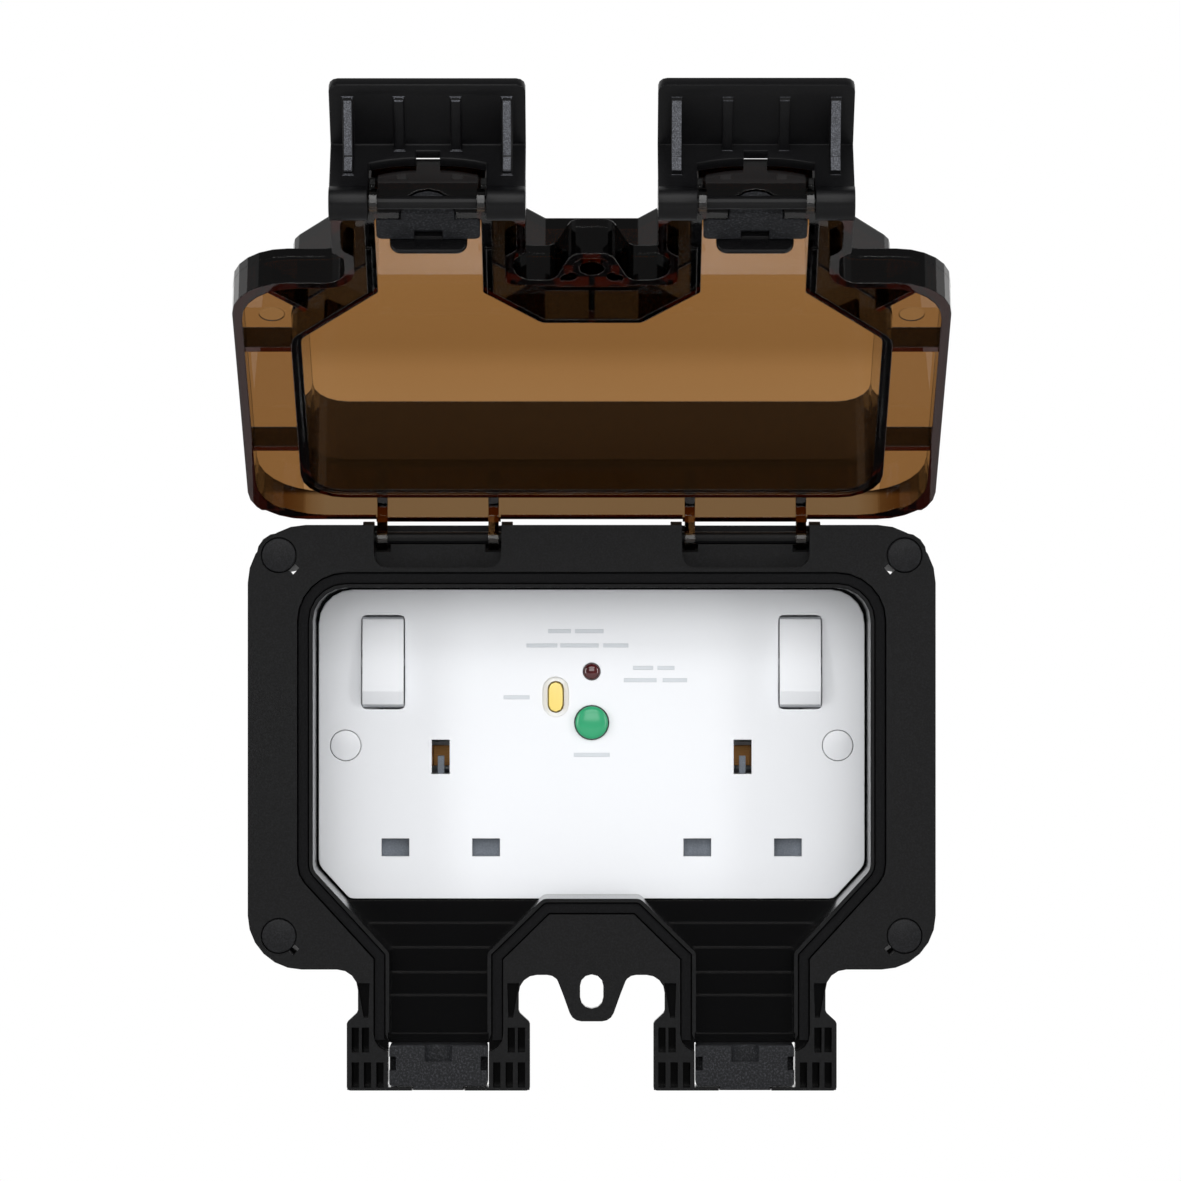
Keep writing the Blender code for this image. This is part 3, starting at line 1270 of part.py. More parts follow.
def faceplate():
    """The white plate: rim, bosses, rocker cheeks and every opening in its face."""
    shape = grown(mirrored(box_half()), -SEAT_STEP - CLEARANCE)
    face = plate("faceplate", [outline(shape)], FACE, PLATE_BACK, white_urea())
    bevel_front(face, FACE)
    masses = []
    cuts = []
    for side in (-1, 1):
        x = side * PLATE_FIXING_PITCH / 2
        z = PLATE_FIXING_Z
        masses.append(rod("boss", (x, PLATE_BACK - 0.5 * MM, z), (x, FACE + PLATE_BOSS_DEPTH, z),
                          PLATE_BOSS_RADIUS))
        masses.extend(rocker_cheeks(side))
        cuts.append(rod("counterbore", (x, FACE - OVERCUT, z),
                        (x, FACE + PLATE_COUNTERBORE_DEPTH, z),
                        PLATE_CAP_RADIUS + 0.15 * MM, sides=24))
        cuts.append(rod("screw_way", (x, FACE, z), (x, FACE + PLATE_BOSS_DEPTH + OVERCUT, z),
                        PLATE_SCREW_RADIUS + CLEARANCE, sides=12))
        cuts.extend(plate_openings(side))
    cuts.append(button_hole("reset_hole", 0.0, RESET_Z, RESET_RADIUS + CLEARANCE))
    cuts.append(button_hole("led_hole", 0.0, LED_Z, LED_RADIUS + 0.2 * MM))
    cuts.append(plate("test_hole", [test_outline(CLEARANCE)], FACE - OVERCUT,
                      PLATE_BACK + OVERCUT))
    join(face, *masses)
    cut(face, *cuts, label="openings")
    dish = box_outline(TEST_X - DISH_WIDTH / 2, TEST_X + DISH_WIDTH / 2,
                       TEST_Z - DISH_HEIGHT / 2, TEST_Z + DISH_HEIGHT / 2, 0.49 * DISH_WIDTH)
    return cut(face, plate("dish", [dish], FACE - OVERCUT, FACE + DISH_DEPTH), label="dish")


def bevel_front(item, front):
    edit = bmesh.new()
    edit.from_mesh(item.data)
    rim = [edge for edge in edit.edges
           if all(abs(vertex.co.y - front) < 0.01 * MM for vertex in edge.verts)
           and abs(edge.link_faces[0].normal.dot(edge.link_faces[1].normal)) < 0.5]
    bmesh.ops.bevel(edit, geom=rim, offset=PLATE_EDGE_BEVEL, segments=2, profile=0.5,
                    affect="EDGES", clamp_overlap=True)
    edit.to_mesh(item.data)
    edit.free()


def button_hole(name, x, z, radius):
    return rod(name, (x, FACE - OVERCUT, z), (x, PLATE_BACK + OVERCUT, z), radius, sides=24)


def test_outline(grow):
    return box_outline(TEST_X - TEST_WIDTH / 2 - grow, TEST_X + TEST_WIDTH / 2 + grow,
                       TEST_Z - TEST_HEIGHT / 2 - grow, TEST_Z + TEST_HEIGHT / 2 + grow,
                       TEST_WIDTH / 2 * 0.98 + grow)


def rocker_cheeks(side):
    """Two lugs behind each rocker opening, which hold the rocker's trunnions."""
    cheeks = []
    for flip in (-1, 1):
        inner = side * ROCKER_X + flip * (ROCKER_OPENING_WIDTH / 2 - 0.5 * MM)
        outer = side * ROCKER_X + flip * (ROCKER_OPENING_WIDTH / 2 + CHEEK_THICKNESS)
        cheeks.append(block("cheek", (min(inner, outer), PLATE_BACK - 0.5 * MM,
                                      ROCKER_Z - CHEEK_HALF_HEIGHT),
                            (max(inner, outer), PLATE_BACK + CHEEK_DEPTH,
                             ROCKER_Z + CHEEK_HALF_HEIGHT)))
    return cheeks


def plate_openings(side):
    """One socket's three pin slots, its rocker opening and the trunnions' bearings."""
    middle = side * TOWER_X
    front = FACE - OVERCUT
    back = PLATE_BACK + OVERCUT
    slots = [plate("earth_slot", [box_outline(middle - EARTH_SLOT_WIDTH / 2,
                                              middle + EARTH_SLOT_WIDTH / 2,
                                              EARTH_Z - EARTH_SLOT_HEIGHT / 2,
                                              EARTH_Z + EARTH_SLOT_HEIGHT / 2)], front, back)]
    for flip in (-1, 1):
        x = middle + flip * PIN_OFFSET
        slots.append(plate("pin_slot", [box_outline(x - PIN_SLOT_WIDTH / 2,
                                                    x + PIN_SLOT_WIDTH / 2,
                                                    PIN_Z - PIN_SLOT_HEIGHT / 2,
                                                    PIN_Z + PIN_SLOT_HEIGHT / 2)], front, back))
    x = side * ROCKER_X
    slots.append(plate("rocker_opening", [box_outline(x - ROCKER_OPENING_WIDTH / 2,
                                                      x + ROCKER_OPENING_WIDTH / 2,
                                                      ROCKER_Z - ROCKER_OPENING_HEIGHT / 2,
                                                      ROCKER_Z + ROCKER_OPENING_HEIGHT / 2,
                                                      1.2 * MM)],
                       front, back + CHEEK_DEPTH))
    reach = ROCKER_OPENING_WIDTH / 2 + TRUNNION_LENGTH + CLEARANCE
    axis_y = FACE + ROCKER_AXIS_DEPTH
    radius = TRUNNION_RADIUS + CLEARANCE
    slots.append(block("bearing", (x - reach, axis_y, ROCKER_Z - radius),
                       (x + reach, PLATE_BACK + CHEEK_DEPTH - 1.0 * MM, ROCKER_Z + radius)))
    slots.append(rod("bearing_round", (x - reach + 0.01 * MM, axis_y, ROCKER_Z),
                     (x + reach - 0.01 * MM, axis_y, ROCKER_Z), radius, sides=12))
    return slots


def rocker(side):
    """A rocker whose ends are arcs about its axis, so that it turns inside its opening."""
    x = side * ROCKER_X
    half = ROCKER_OPENING_WIDTH / 2 - CLEARANCE
    radius = ROCKER_OPENING_HEIGHT / 2 - 0.35 * MM
    axis_y = FACE + ROCKER_AXIS_DEPTH
    chord = ROCKER_AXIS_DEPTH + ROCKER_PROUD
    limit = math.asin(chord / radius)
    low = math.radians(ROCKER_END_ANGLE)
    profile = []
    for end in (1, -1):
        for step in range(5):
            share = step / 4 if end > 0 else 1 - step / 4
            angle = (limit + low) * share - low
            profile.append((axis_y - radius * math.sin(angle),
                            ROCKER_Z + end * radius * math.cos(angle)))
    centre = Vector((axis_y, ROCKER_Z))
    tilt = math.radians(ROCKER_TILT)
    back = [(axis_y + ROCKER_BACK, ROCKER_Z - ROCKER_BACK_HALF_HEIGHT),
            (axis_y + ROCKER_BACK, ROCKER_Z + ROCKER_BACK_HALF_HEIGHT)]
    profile = [centre + rotated(Vector(point) - centre, -tilt) for point in profile + back]
    piece = slice_x("rocker_" + side_name(side), [profile], x - half, x + half, white_urea())
    reach = ROCKER_OPENING_WIDTH / 2 + TRUNNION_LENGTH
    axle = rod("axle", (x - reach, axis_y, ROCKER_Z), (x + reach, axis_y, ROCKER_Z),
               TRUNNION_RADIUS, sides=12)
    return join(piece, axle)


def buttons():
    """Reset button, test button and indicator lens, each with a collar behind the faceplate."""
    collar = PLATE_BACK + CLEARANCE
    collar_back = collar + BUTTON_FLANGE_THICKNESS
    green = material("green_urea", (0.04, 0.47, 0.2), 0.3)
    crown = [(0.0, FACE - RESET_PROUD), (RESET_RADIUS * 0.5, FACE - RESET_PROUD * 0.9),
             (RESET_RADIUS * 0.85, FACE - RESET_PROUD * 0.62), (RESET_RADIUS, FACE - 0.4 * MM)]
    turned("reset_button", crown + [(RESET_RADIUS, collar), (RESET_RADIUS + BUTTON_FLANGE, collar),
                                    (RESET_RADIUS + BUTTON_FLANGE, collar_back),
                                    (PLUNGER_RADIUS, collar_back),
                                    (PLUNGER_RADIUS, collar_back + PLUNGER_LENGTH),
                                    (0.0, collar_back + PLUNGER_LENGTH)], (0.0, RESET_Z), green)
    red = material("dark_red_lens", (0.07, 0.01, 0.01), 0.15)
    lens = [(0.0, FACE - LED_PROUD), (LED_RADIUS * 0.6, FACE - LED_PROUD * 0.75),
            (LED_RADIUS, FACE)]
    turned("led_lens", lens + [(LED_RADIUS, PLATE_BACK + CLEARANCE),
                               (LED_RADIUS + 0.6 * MM, PLATE_BACK + CLEARANCE),
                               (LED_RADIUS + 0.6 * MM, PLATE_BACK + 1.5 * MM),
                               (0.0, PLATE_BACK + 1.5 * MM)], (0.0, LED_Z), red)
    yellow = material("yellow_urea", (0.9, 0.7, 0.1), 0.35)
    test = plate("test_button", [test_outline(0.0)], FACE - TEST_PROUD, collar_back, yellow)
    flange = plate("flange", [test_outline(BUTTON_FLANGE)], collar, collar_back - 0.01 * MM)
    plunger = rod("plunger", (TEST_X, collar, TEST_Z), (TEST_X, collar_back + PLUNGER_LENGTH, TEST_Z),
                  PLUNGER_RADIUS, sides=12)
    join(test, flange, plunger)


def plate_fixings(side):
    """A faceplate screw and the disc that covers its head."""
    x = side * PLATE_FIXING_PITCH / 2
    z = PLATE_FIXING_Z
    seat = FACE + PLATE_COUNTERBORE_DEPTH - CLEARANCE
    head_front = FACE + PLATE_CAP_THICKNESS + CLEARANCE
    screw = rod("plate_screw_" + side_name(side), (x, head_front, z), (x, seat, z),
                PLATE_SCREW_HEAD, zinc_steel(), sides=16)
    join(screw, rod("shank", (x, seat - 0.5 * MM, z), (x, seat + PLATE_SCREW_LENGTH, z),
                    PLATE_SCREW_RADIUS, sides=12))
    cut(screw, block("slot", (x - PLATE_SCREW_HEAD - OVERCUT, head_front - OVERCUT, z - 0.5 * MM),
                     (x + PLATE_SCREW_HEAD + OVERCUT, head_front + 0.9 * MM, z + 0.5 * MM)),
        label="slot")
    rod("plate_screw_cap_" + side_name(side), (x, FACE, z), (x, FACE + PLATE_CAP_THICKNESS, z),
        PLATE_CAP_RADIUS, white_urea(), sides=24)


def shutter(side):
    """The grey slide behind the line and neutral slots, with the arm that the earth pin moves."""
    middle = side * TOWER_X
    top = PIN_Z + SHUTTER_HEIGHT / 2
    arm_top = EARTH_Z + 0.2 * MM
    arm = SHUTTER_ARM_HALF_WIDTH
    half = SHUTTER_HALF_WIDTH
    shape = [(middle - half, PIN_Z - SHUTTER_HEIGHT / 2), (middle + half, PIN_Z - SHUTTER_HEIGHT / 2),
             (middle + half, top), (middle + arm, top), (middle + arm, arm_top),
             (middle - arm, arm_top), (middle - arm, top), (middle - half, top)]
    front = PLATE_BACK + CLEARANCE
    return plate("shutter_" + side_name(side), [outline(shape)], front,
                 front + SHUTTER_THICKNESS, grey_nylon())


def jaw(name, x, z, half_gap, upright, look=None):
    """A folded strip that grips one plug pin: two leaves and the web behind them."""
    back = CONTACT_FRONT + CONTACT_LENGTH
    front = CONTACT_FRONT
    outer = half_gap + CONTACT_STRIP
    profile = [(-outer, front), (-half_gap, front), (-half_gap, back - CONTACT_STRIP),
               (half_gap, back - CONTACT_STRIP), (half_gap, front), (outer, front),
               (outer, back), (-outer, back)]
    half = CONTACT_WIDTH / 2
    if upright:
        return slice_z(name, [[(x + across, depth) for across, depth in profile]],
                       z - half, z + half, look)
    return slice_x(name, [[(depth, z + across) for across, depth in profile]],
                   x - half, x + half, look)


def contacts():
    """Line and neutral jaws for each socket, and one earth bar with a jaw at each end."""
    for side in (-1, 1):
        middle = side * TOWER_X
        jaw("live_contact_" + side_name(side), middle + PIN_OFFSET, PIN_Z, CONTACT_GRIP, False,
            brass())
        jaw("neutral_contact_" + side_name(side), middle - PIN_OFFSET, PIN_Z, CONTACT_GRIP,
            False, brass())
    bar = jaw("earth_bar", -TOWER_X, EARTH_Z, CONTACT_GRIP, True, brass())
    back = CONTACT_FRONT + CONTACT_LENGTH
    strap = block("strap", (-TOWER_X, back - 0.4 * MM, EARTH_Z - EARTH_BAR_HEIGHT / 2 + 0.1 * MM),
                  (TOWER_X, back + 0.6 * MM, EARTH_Z + EARTH_BAR_HEIGHT / 2))
    join(bar, jaw("other_jaw", TOWER_X, EARTH_Z, CONTACT_GRIP, True), strap)


def cover_outline():
    """Left half of the rear cover's plan, notched round the faceplate's screw bosses."""
    top = RECESS_TOP - COVER_TOP_GAP
    bottom = COVER_BOTTOM_GAP - BOX_BOTTOM
    notch = COVER_NOTCH_HALF_HEIGHT
    wide = RECESS_HALF_WIDTH - COVER_SIDE_GAP
    notch_inner = PLATE_FIXING_PITCH / 2 - PLATE_BOSS_RADIUS - COVER_NOTCH_GAP
    return [(0.0, top), (-wide, top, 3.0 * MM),
            (-wide, PLATE_FIXING_Z + notch + COVER_NOTCH_FLARE),
            (-notch_inner, PLATE_FIXING_Z + notch, 1.0 * MM),
            (-notch_inner, PLATE_FIXING_Z - notch, 1.0 * MM),
            (-wide, PLATE_FIXING_Z - notch - COVER_NOTCH_FLARE),
            (-wide, bottom + COVER_CHAMFER, 1.0 * MM),
            (COVER_CHAMFER - wide, bottom, 1.0 * MM), (0.0, bottom)]


def socket_rear_cover():
    """The tray that holds the contacts behind the faceplate, with a pedestal for each."""
    shape = mirrored(cover_outline())
    front = PLATE_BACK + CLEARANCE
    cover = plate("socket_rear_cover", [outline(shape)], front, COVER_BACK, white_urea())
    inside = plate("inside", [outline(grown(shape, -COVER_WALL))], front - OVERCUT,
                   COVER_BACK - COVER_WALL)
    cut(cover, inside)
    jaw_back = CONTACT_FRONT + CONTACT_LENGTH + CLEARANCE
    stands = []
    for side in (-1, 1):
        middle = side * TOWER_X
        for flip in (-1, 1):
            x = middle + flip * PIN_OFFSET
            stands.append(block("pin_stand", (x - STAND_HALF, jaw_back, PIN_Z - STAND_HALF),
                                (x + STAND_HALF, COVER_BACK - 0.5 * MM, PIN_Z + STAND_HALF)))
        stands.append(block("earth_stand", (middle - STAND_HALF, jaw_back + 0.6 * MM,
                                            EARTH_Z - STAND_HALF),
                            (middle + STAND_HALF, COVER_BACK - 0.4 * MM, EARTH_Z + STAND_HALF)))
    join(cover, *stands, label="stands")
    holes = []
    for index in (-1, 0, 1):
        x = index * TERMINAL_SPACING
        holes.append(rod("terminal_way", (x, COVER_BACK + OVERCUT, TERMINAL_Z),
                         (x, COVER_BACK - COVER_WALL - OVERCUT, TERMINAL_Z),
                         TERMINAL_RADIUS + CLEARANCE))
    return cut(cover, *holes, label="ways")


def rcd_module():
    """The trip unit between the sockets, a closed block with wells for the two buttons."""
    front = PLATE_BACK + BUTTON_TRAVEL + BUTTON_FLANGE_THICKNESS + 0.8 * MM
    back = COVER_BACK - COVER_WALL - CLEARANCE
    bar_clear = EARTH_Z + EARTH_BAR_HEIGHT / 2 + 1.0 * MM
    shape = box_outline(-MODULE_HALF_WIDTH, MODULE_HALF_WIDTH, bar_clear, MODULE_TOP, 1.0 * MM)
    module = plate("rcd_module", [shape], front, back, grey_nylon())
    wells = [rod("reset_well", (0, front - OVERCUT, RESET_Z), (0, front + 3.5 * MM, RESET_Z),
                 RESET_RADIUS + BUTTON_FLANGE + 0.5 * MM)]
    wells.append(plate("test_well", [test_outline(BUTTON_FLANGE + 0.5 * MM)], front - OVERCUT,
                       front + 3.4 * MM))
    return cut(module, *wells)


def terminal_screws():
    names = ("live", "earth", "neutral")
    for name, index in zip(names, (-1, 0, 1)):
        x = index * TERMINAL_SPACING
        front = COVER_BACK - COVER_WALL + CLEARANCE
        screw = rod("terminal_screw_" + name, (x, front, TERMINAL_Z),
                    (x, COVER_BACK + 1.2 * MM, TERMINAL_Z), TERMINAL_RADIUS, brass(), sides=16)
        cut(screw, block("slot", (x - TERMINAL_RADIUS - OVERCUT, COVER_BACK + 0.2 * MM,
                                  TERMINAL_Z - 0.5 * MM),
                         (x + TERMINAL_RADIUS + OVERCUT, COVER_BACK + 3.0 * MM,
                          TERMINAL_Z + 0.5 * MM)), label="slot")


def build():
    reset_scene()
    rear_housing()
    for name, x, z, _ in fixing_points():
        corner_cap(name, x, z)
    gaskets()
    faceplate()
    buttons()
    contacts()
    socket_rear_cover()
    rcd_module()
    terminal_screws()
    lid_frame = pivot("lid_axis", (0.0, HINGE_Y, HINGE_Z), -LID_OPEN_ANGLE)
    hang(lid_shell(), lid_frame)
    for side in (-1, 1):
        base_cable_seal(side)
        hinge_pin(side)
        plate_fixings(side)
        rocker(side)
        shutter(side)
        hang(lid_cable_seal(side), lid_frame)
        hang(latch_pin(side), lid_frame)
        latch_frame = pivot("latch_axis_" + side_name(side), (side * TOWER_X, LATCH_Y, LATCH_Z),
                            -LATCH_OPEN_ANGLE, lid_frame)
        hang(latch(side), latch_frame)
    bpy.context.view_layer.update()


if __name__ == "__main__":
    build()
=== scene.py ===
# %% [markdown]
# # An outdoor double socket with its smoked lid held open
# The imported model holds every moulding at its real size. This lesson gives each one its finish,
# makes the small visible pieces again with soft edges, and lights them as in a catalogue picture.

# %% Load the frame
import json
import math

import bpy
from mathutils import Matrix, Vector


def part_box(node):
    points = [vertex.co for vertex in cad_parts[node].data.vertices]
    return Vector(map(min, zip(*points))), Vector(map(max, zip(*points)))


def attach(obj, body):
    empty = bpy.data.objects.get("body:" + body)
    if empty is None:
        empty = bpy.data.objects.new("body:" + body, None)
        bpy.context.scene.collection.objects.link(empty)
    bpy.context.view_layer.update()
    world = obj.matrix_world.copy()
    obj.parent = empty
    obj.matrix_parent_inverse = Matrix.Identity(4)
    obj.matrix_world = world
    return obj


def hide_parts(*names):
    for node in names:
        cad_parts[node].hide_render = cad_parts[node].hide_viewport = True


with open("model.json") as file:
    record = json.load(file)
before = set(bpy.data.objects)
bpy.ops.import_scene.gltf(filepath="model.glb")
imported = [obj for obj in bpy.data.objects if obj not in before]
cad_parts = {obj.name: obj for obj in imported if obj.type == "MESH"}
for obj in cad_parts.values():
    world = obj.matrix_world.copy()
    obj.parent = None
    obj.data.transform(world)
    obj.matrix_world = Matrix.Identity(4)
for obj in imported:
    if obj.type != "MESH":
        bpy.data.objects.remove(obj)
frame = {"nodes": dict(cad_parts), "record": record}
bpy.ops.object.select_all(action="DESELECT")
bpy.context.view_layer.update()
MM = 0.001

# %% [markdown]
# ## Places that the finishes and new pieces share
# The front of the black border and the face of the white plate are needed again and again. They
# could be typed in, but a number read from the moulding's own box can't disagree with it. Only the
# distance of a socket's centre from the middle has no box of its own, so it is given.

# %% Shared places
BORDER_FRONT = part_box("rear_housing")[0].y
PLATE_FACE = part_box("faceplate")[0].y
SOCKET_X = 37.0 * MM
print("border front", round(BORDER_FRONT / MM, 2), "mm, plate face", round(PLATE_FACE / MM, 2), "mm")

# %% [markdown]
# ## The view
# The catalogue picture is taken square on from about 1.66 m, level with the lid's hinge. A camera
# without perspective would be simpler, but the lid leans out and so looks larger than the border.
# A long lens at the true distance gives that, and keeps the border's sides straight.

# %% Camera
CAMERA_PLACE = Vector((-0.29, -1657.0, 37.77)) * MM
FILM_WIDTH = 36.0
LENS_LENGTH = 201.5

camera_data = bpy.data.cameras.new("catalogue_camera")
camera_data.sensor_width = FILM_WIDTH
camera_data.lens = LENS_LENGTH
camera = bpy.data.objects.new("catalogue_camera", camera_data)
bpy.context.scene.collection.objects.link(camera)
camera.location = CAMERA_PLACE
camera.rotation_euler = (math.radians(90), 0.0, 0.0)
bpy.context.scene.camera = camera
bpy.context.scene.view_settings.view_transform = "Standard"
print("camera", round(-CAMERA_PLACE.y, 3), "m in front, lens", LENS_LENGTH, "mm")


# %% [markdown]
# ## Helpers for materials
# Colours are written as the hex values that a picture shows, and one function turns them to the
# linear values that Blender mixes. A node could be added and linked in four lines each time. One
# small function does it in one, so that a material reads as a list of its steps.

# %% Helpers for materials
def linear(hex_code):
    """A colour written as sRGB hex, as the linear values that Blender mixes."""
    channels = []
    for start in (1, 3, 5):
        value = int(hex_code[start:start + 2], 16) / 255
        channels.append(value / 12.92 if value <= 0.04045 else ((value + 0.055) / 1.055) ** 2.4)
    return (*channels, 1.0)


def add_node(tree, kind, settings=None, **links):
    """A node of that kind: settings are its properties and plain inputs, links its sockets."""
    node = tree.nodes.new(kind)
    for key, value in (settings or {}).items():
        if isinstance(key, str) and hasattr(node, key):
            setattr(node, key, value)
        else:
            node.inputs[key].default_value = value
    for key, source in links.items():
        name = key.replace("_", " ")
        socket = node.inputs[int(key[1:])] if key[1:].isdigit() else node.inputs[name]
        tree.links.new(source, socket)
    return node


def start_material(name):
    """An empty material with its node tree and its Principled shader."""
    made = bpy.data.materials.new(name)
    made.use_nodes = True
    tree = made.node_tree
    shader = tree.nodes["Principled BSDF"]
    return made, tree, shader


def set_plain(shader, values):
    """Numbers that are the same all over a surface, on the shader's own sockets."""
    for socket_name, value in values.items():
        shader.inputs[socket_name].default_value = value


# %% [markdown]
# ## Grain, specks and slow tones
# Moulded plastic copies its tool. A blasted or eroded tool leaves a grain, fillers show as specks,
# and a thick flat moulding drifts slowly in tone. Each could be a picture wrapped on the piece,
# but noise on Object coordinates has no seams and takes its scale from a size in millimetres. The
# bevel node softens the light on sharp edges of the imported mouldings, which stay as they are.

# %% Helpers for surfaces
EDGE_ROUND = 0.3 * MM
EDGE_SAMPLES = 4
GRAIN_MIX = 0.6


def grain_bump(tree, coordinates, grain, height, strength=1.0, detail=2.0):
    """Bump from noise whose lumps are one grain across, with softened edges underneath."""
    edge = add_node(tree, "ShaderNodeBevel", {"samples": EDGE_SAMPLES, "Radius": EDGE_ROUND})
    noise = add_node(tree, "ShaderNodeTexNoise", {"Scale": 1 / grain, "Detail": detail,
                                                  "Roughness": GRAIN_MIX}, Vector=coordinates)
    return add_node(tree, "ShaderNodeBump", {"Strength": strength, "Distance": height},
                    Height=noise.outputs["Fac"], Normal=edge.outputs["Normal"])


def specks(tree, coordinates, grain, noise_settings, dark, light):
    """Colour in specks of one grain: dark and light are each a hex colour and where it starts."""
    noise = add_node(tree, "ShaderNodeTexNoise", {"Scale": 1 / grain, **noise_settings},
                     Vector=coordinates)
    skin = add_node(tree, "ShaderNodeValToRGB", _0=noise.outputs["Fac"])
    for stop, (colour, position) in zip(skin.color_ramp.elements, (dark, light)):
        stop.position = position
        stop.color = linear(colour)
    return skin.outputs["Color"]


def clouds(tree, coordinates, size, dark, light):
    """Two close colours that drift into each other over patches of that size."""
    noise = add_node(tree, "ShaderNodeTexNoise", {"Scale": 1 / size, "Detail": 2.0},
                     Vector=coordinates)
    tone = add_node(tree, "ShaderNodeMix", {"data_type": "RGBA", 6: linear(dark),
                                            7: linear(light)}, Factor=noise.outputs["Fac"])
    return tone.outputs[2]


# %% [markdown]
# ## Black ABS, injection moulded in a spark-eroded tool
# The border and the skirt carry the fine sparkle that spark erosion leaves in the tool, while the
# recess and the cable channels come from polished steel and shine. Two materials would need the
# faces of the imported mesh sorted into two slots. One material with a mask does both: the distance
# behind the border's front tells the polished floor from the grained face.

# %% Housing material
SPARK_GRAIN = 0.45 * MM
SPARK_HEIGHT = 0.05 * MM
SPARK_DARK = ("#060607", 0.42)
SPARK_LIGHT = ("#151618", 0.74)
SPARK_ROUGHNESS = 0.52
POLISHED_ROUGHNESS = 0.13
SPARK_STRENGTH = 0.35
POLISHED_STRENGTH = 0.02
POLISHED_BEHIND = BORDER_FRONT + 0.4 * MM
POLISHED_HALF_WIDTH = 70.0 * MM
POLISHED_TOP = 41.0 * MM
ABS_GLOSS = {"IOR": 1.53, "Specular IOR Level": 0.22}


def spark_abs():
    """ABS with a spark-eroded skin: tiny pits that scatter light into a grey sparkle."""
    made, tree, shader = start_material("spark_eroded_black_abs")
    place = add_node(tree, "ShaderNodeTexCoord").outputs["Object"]
    axes = add_node(tree, "ShaderNodeSeparateXYZ", Vector=place)
    behind = add_node(tree, "ShaderNodeMath", {"operation": "GREATER_THAN", 1: POLISHED_BEHIND},
                      _0=axes.outputs["Y"])
    across = add_node(tree, "ShaderNodeMath", {"operation": "ABSOLUTE"}, _0=axes.outputs["X"])
    within = add_node(tree, "ShaderNodeMath", {"operation": "LESS_THAN", 1: POLISHED_HALF_WIDTH},
                      _0=across.outputs[0])
    under = add_node(tree, "ShaderNodeMath", {"operation": "LESS_THAN", 1: POLISHED_TOP},
                     _0=axes.outputs["Z"])
    inside = add_node(tree, "ShaderNodeMath", {"operation": "MULTIPLY"}, _0=behind.outputs[0],
                      _1=within.outputs[0])
    polished = add_node(tree, "ShaderNodeMath", {"operation": "MULTIPLY"}, _0=inside.outputs[0],
                        _1=under.outputs[0])
    skin = specks(tree, place, SPARK_GRAIN, {"Detail": 3.0, "Roughness": 0.7}, SPARK_DARK,
                  SPARK_LIGHT)
    colour = add_node(tree, "ShaderNodeMix", {"data_type": "RGBA", 7: linear(SPARK_DARK[0])},
                      Factor=polished.outputs[0], _6=skin)
    tree.links.new(colour.outputs[2], shader.inputs["Base Color"])
    rough = add_node(tree, "ShaderNodeMapRange", {"To Min": SPARK_ROUGHNESS,
                                                  "To Max": POLISHED_ROUGHNESS},
                     Value=polished.outputs[0])
    tree.links.new(rough.outputs[0], shader.inputs["Roughness"])
    strength = add_node(tree, "ShaderNodeMapRange", {"To Min": SPARK_STRENGTH,
                                                     "To Max": POLISHED_STRENGTH},
                        Value=polished.outputs[0])
    bump = grain_bump(tree, place, SPARK_GRAIN, SPARK_HEIGHT, detail=3.0)
    tree.links.new(strength.outputs[0], bump.inputs["Strength"])
    tree.links.new(bump.outputs[0], shader.inputs["Normal"])
    set_plain(shader, ABS_GLOSS)
    return made


# %% [markdown]
# ## Black ABS with a fine, even grain
# The latches, corner caps and rods are small mouldings with a softer grain than the border, so
# light slides over them in wide streaks and doesn't sparkle. They differ only in tone, roughness
# and depth of grain, so one function with those three as its inputs makes them all.

# %% Small black mouldings
FINE_GRAIN = 0.3 * MM
FINE_GRAIN_HEIGHT = 0.03 * MM


def fine_abs(name, dark, light, roughness, strength):
    """ABS from a lightly grained tool, with flecks a little paler than its body."""
    made, tree, shader = start_material(name)
    place = add_node(tree, "ShaderNodeTexCoord").outputs["Object"]
    skin = specks(tree, place, FINE_GRAIN, {"Detail": 2.0}, (dark, 0.4), (light, 0.75))
    tree.links.new(skin, shader.inputs["Base Color"])
    bump = grain_bump(tree, place, FINE_GRAIN, FINE_GRAIN_HEIGHT, strength)
    tree.links.new(bump.outputs[0], shader.inputs["Normal"])
    set_plain(shader, {"Roughness": roughness, **ABS_GLOSS})
    return made


# %% [markdown]
# ## EPDM rubber, compression moulded
# The seals are matt and charcoal, with pale specks of filler in them, and the gasket is the same
# rubber, extruded and blacker. The specks could be modelled as dots, but they are half a
# millimetre across, so a ramp over rough noise draws them and the same noise dents the skin.

# %% Rubber
RUBBER_SPECK = 0.5 * MM
RUBBER_DENT = 0.05 * MM


def moulded_rubber(name, dark, light):
    """EPDM: dark and matt, with fine pale filler specks."""
    made, tree, shader = start_material(name)
    place = add_node(tree, "ShaderNodeTexCoord").outputs["Object"]
    skin = specks(tree, place, RUBBER_SPECK, {"Detail": 4.0, "Roughness": 0.8}, (dark, 0.5),
                  (light, 0.75))
    tree.links.new(skin, shader.inputs["Base Color"])
    bump = grain_bump(tree, place, RUBBER_SPECK, RUBBER_DENT, 0.5)
    tree.links.new(bump.outputs[0], shader.inputs["Normal"])
    set_plain(shader, {"Roughness": 0.62, "IOR": 1.5, "Specular IOR Level": 0.15})
    return made


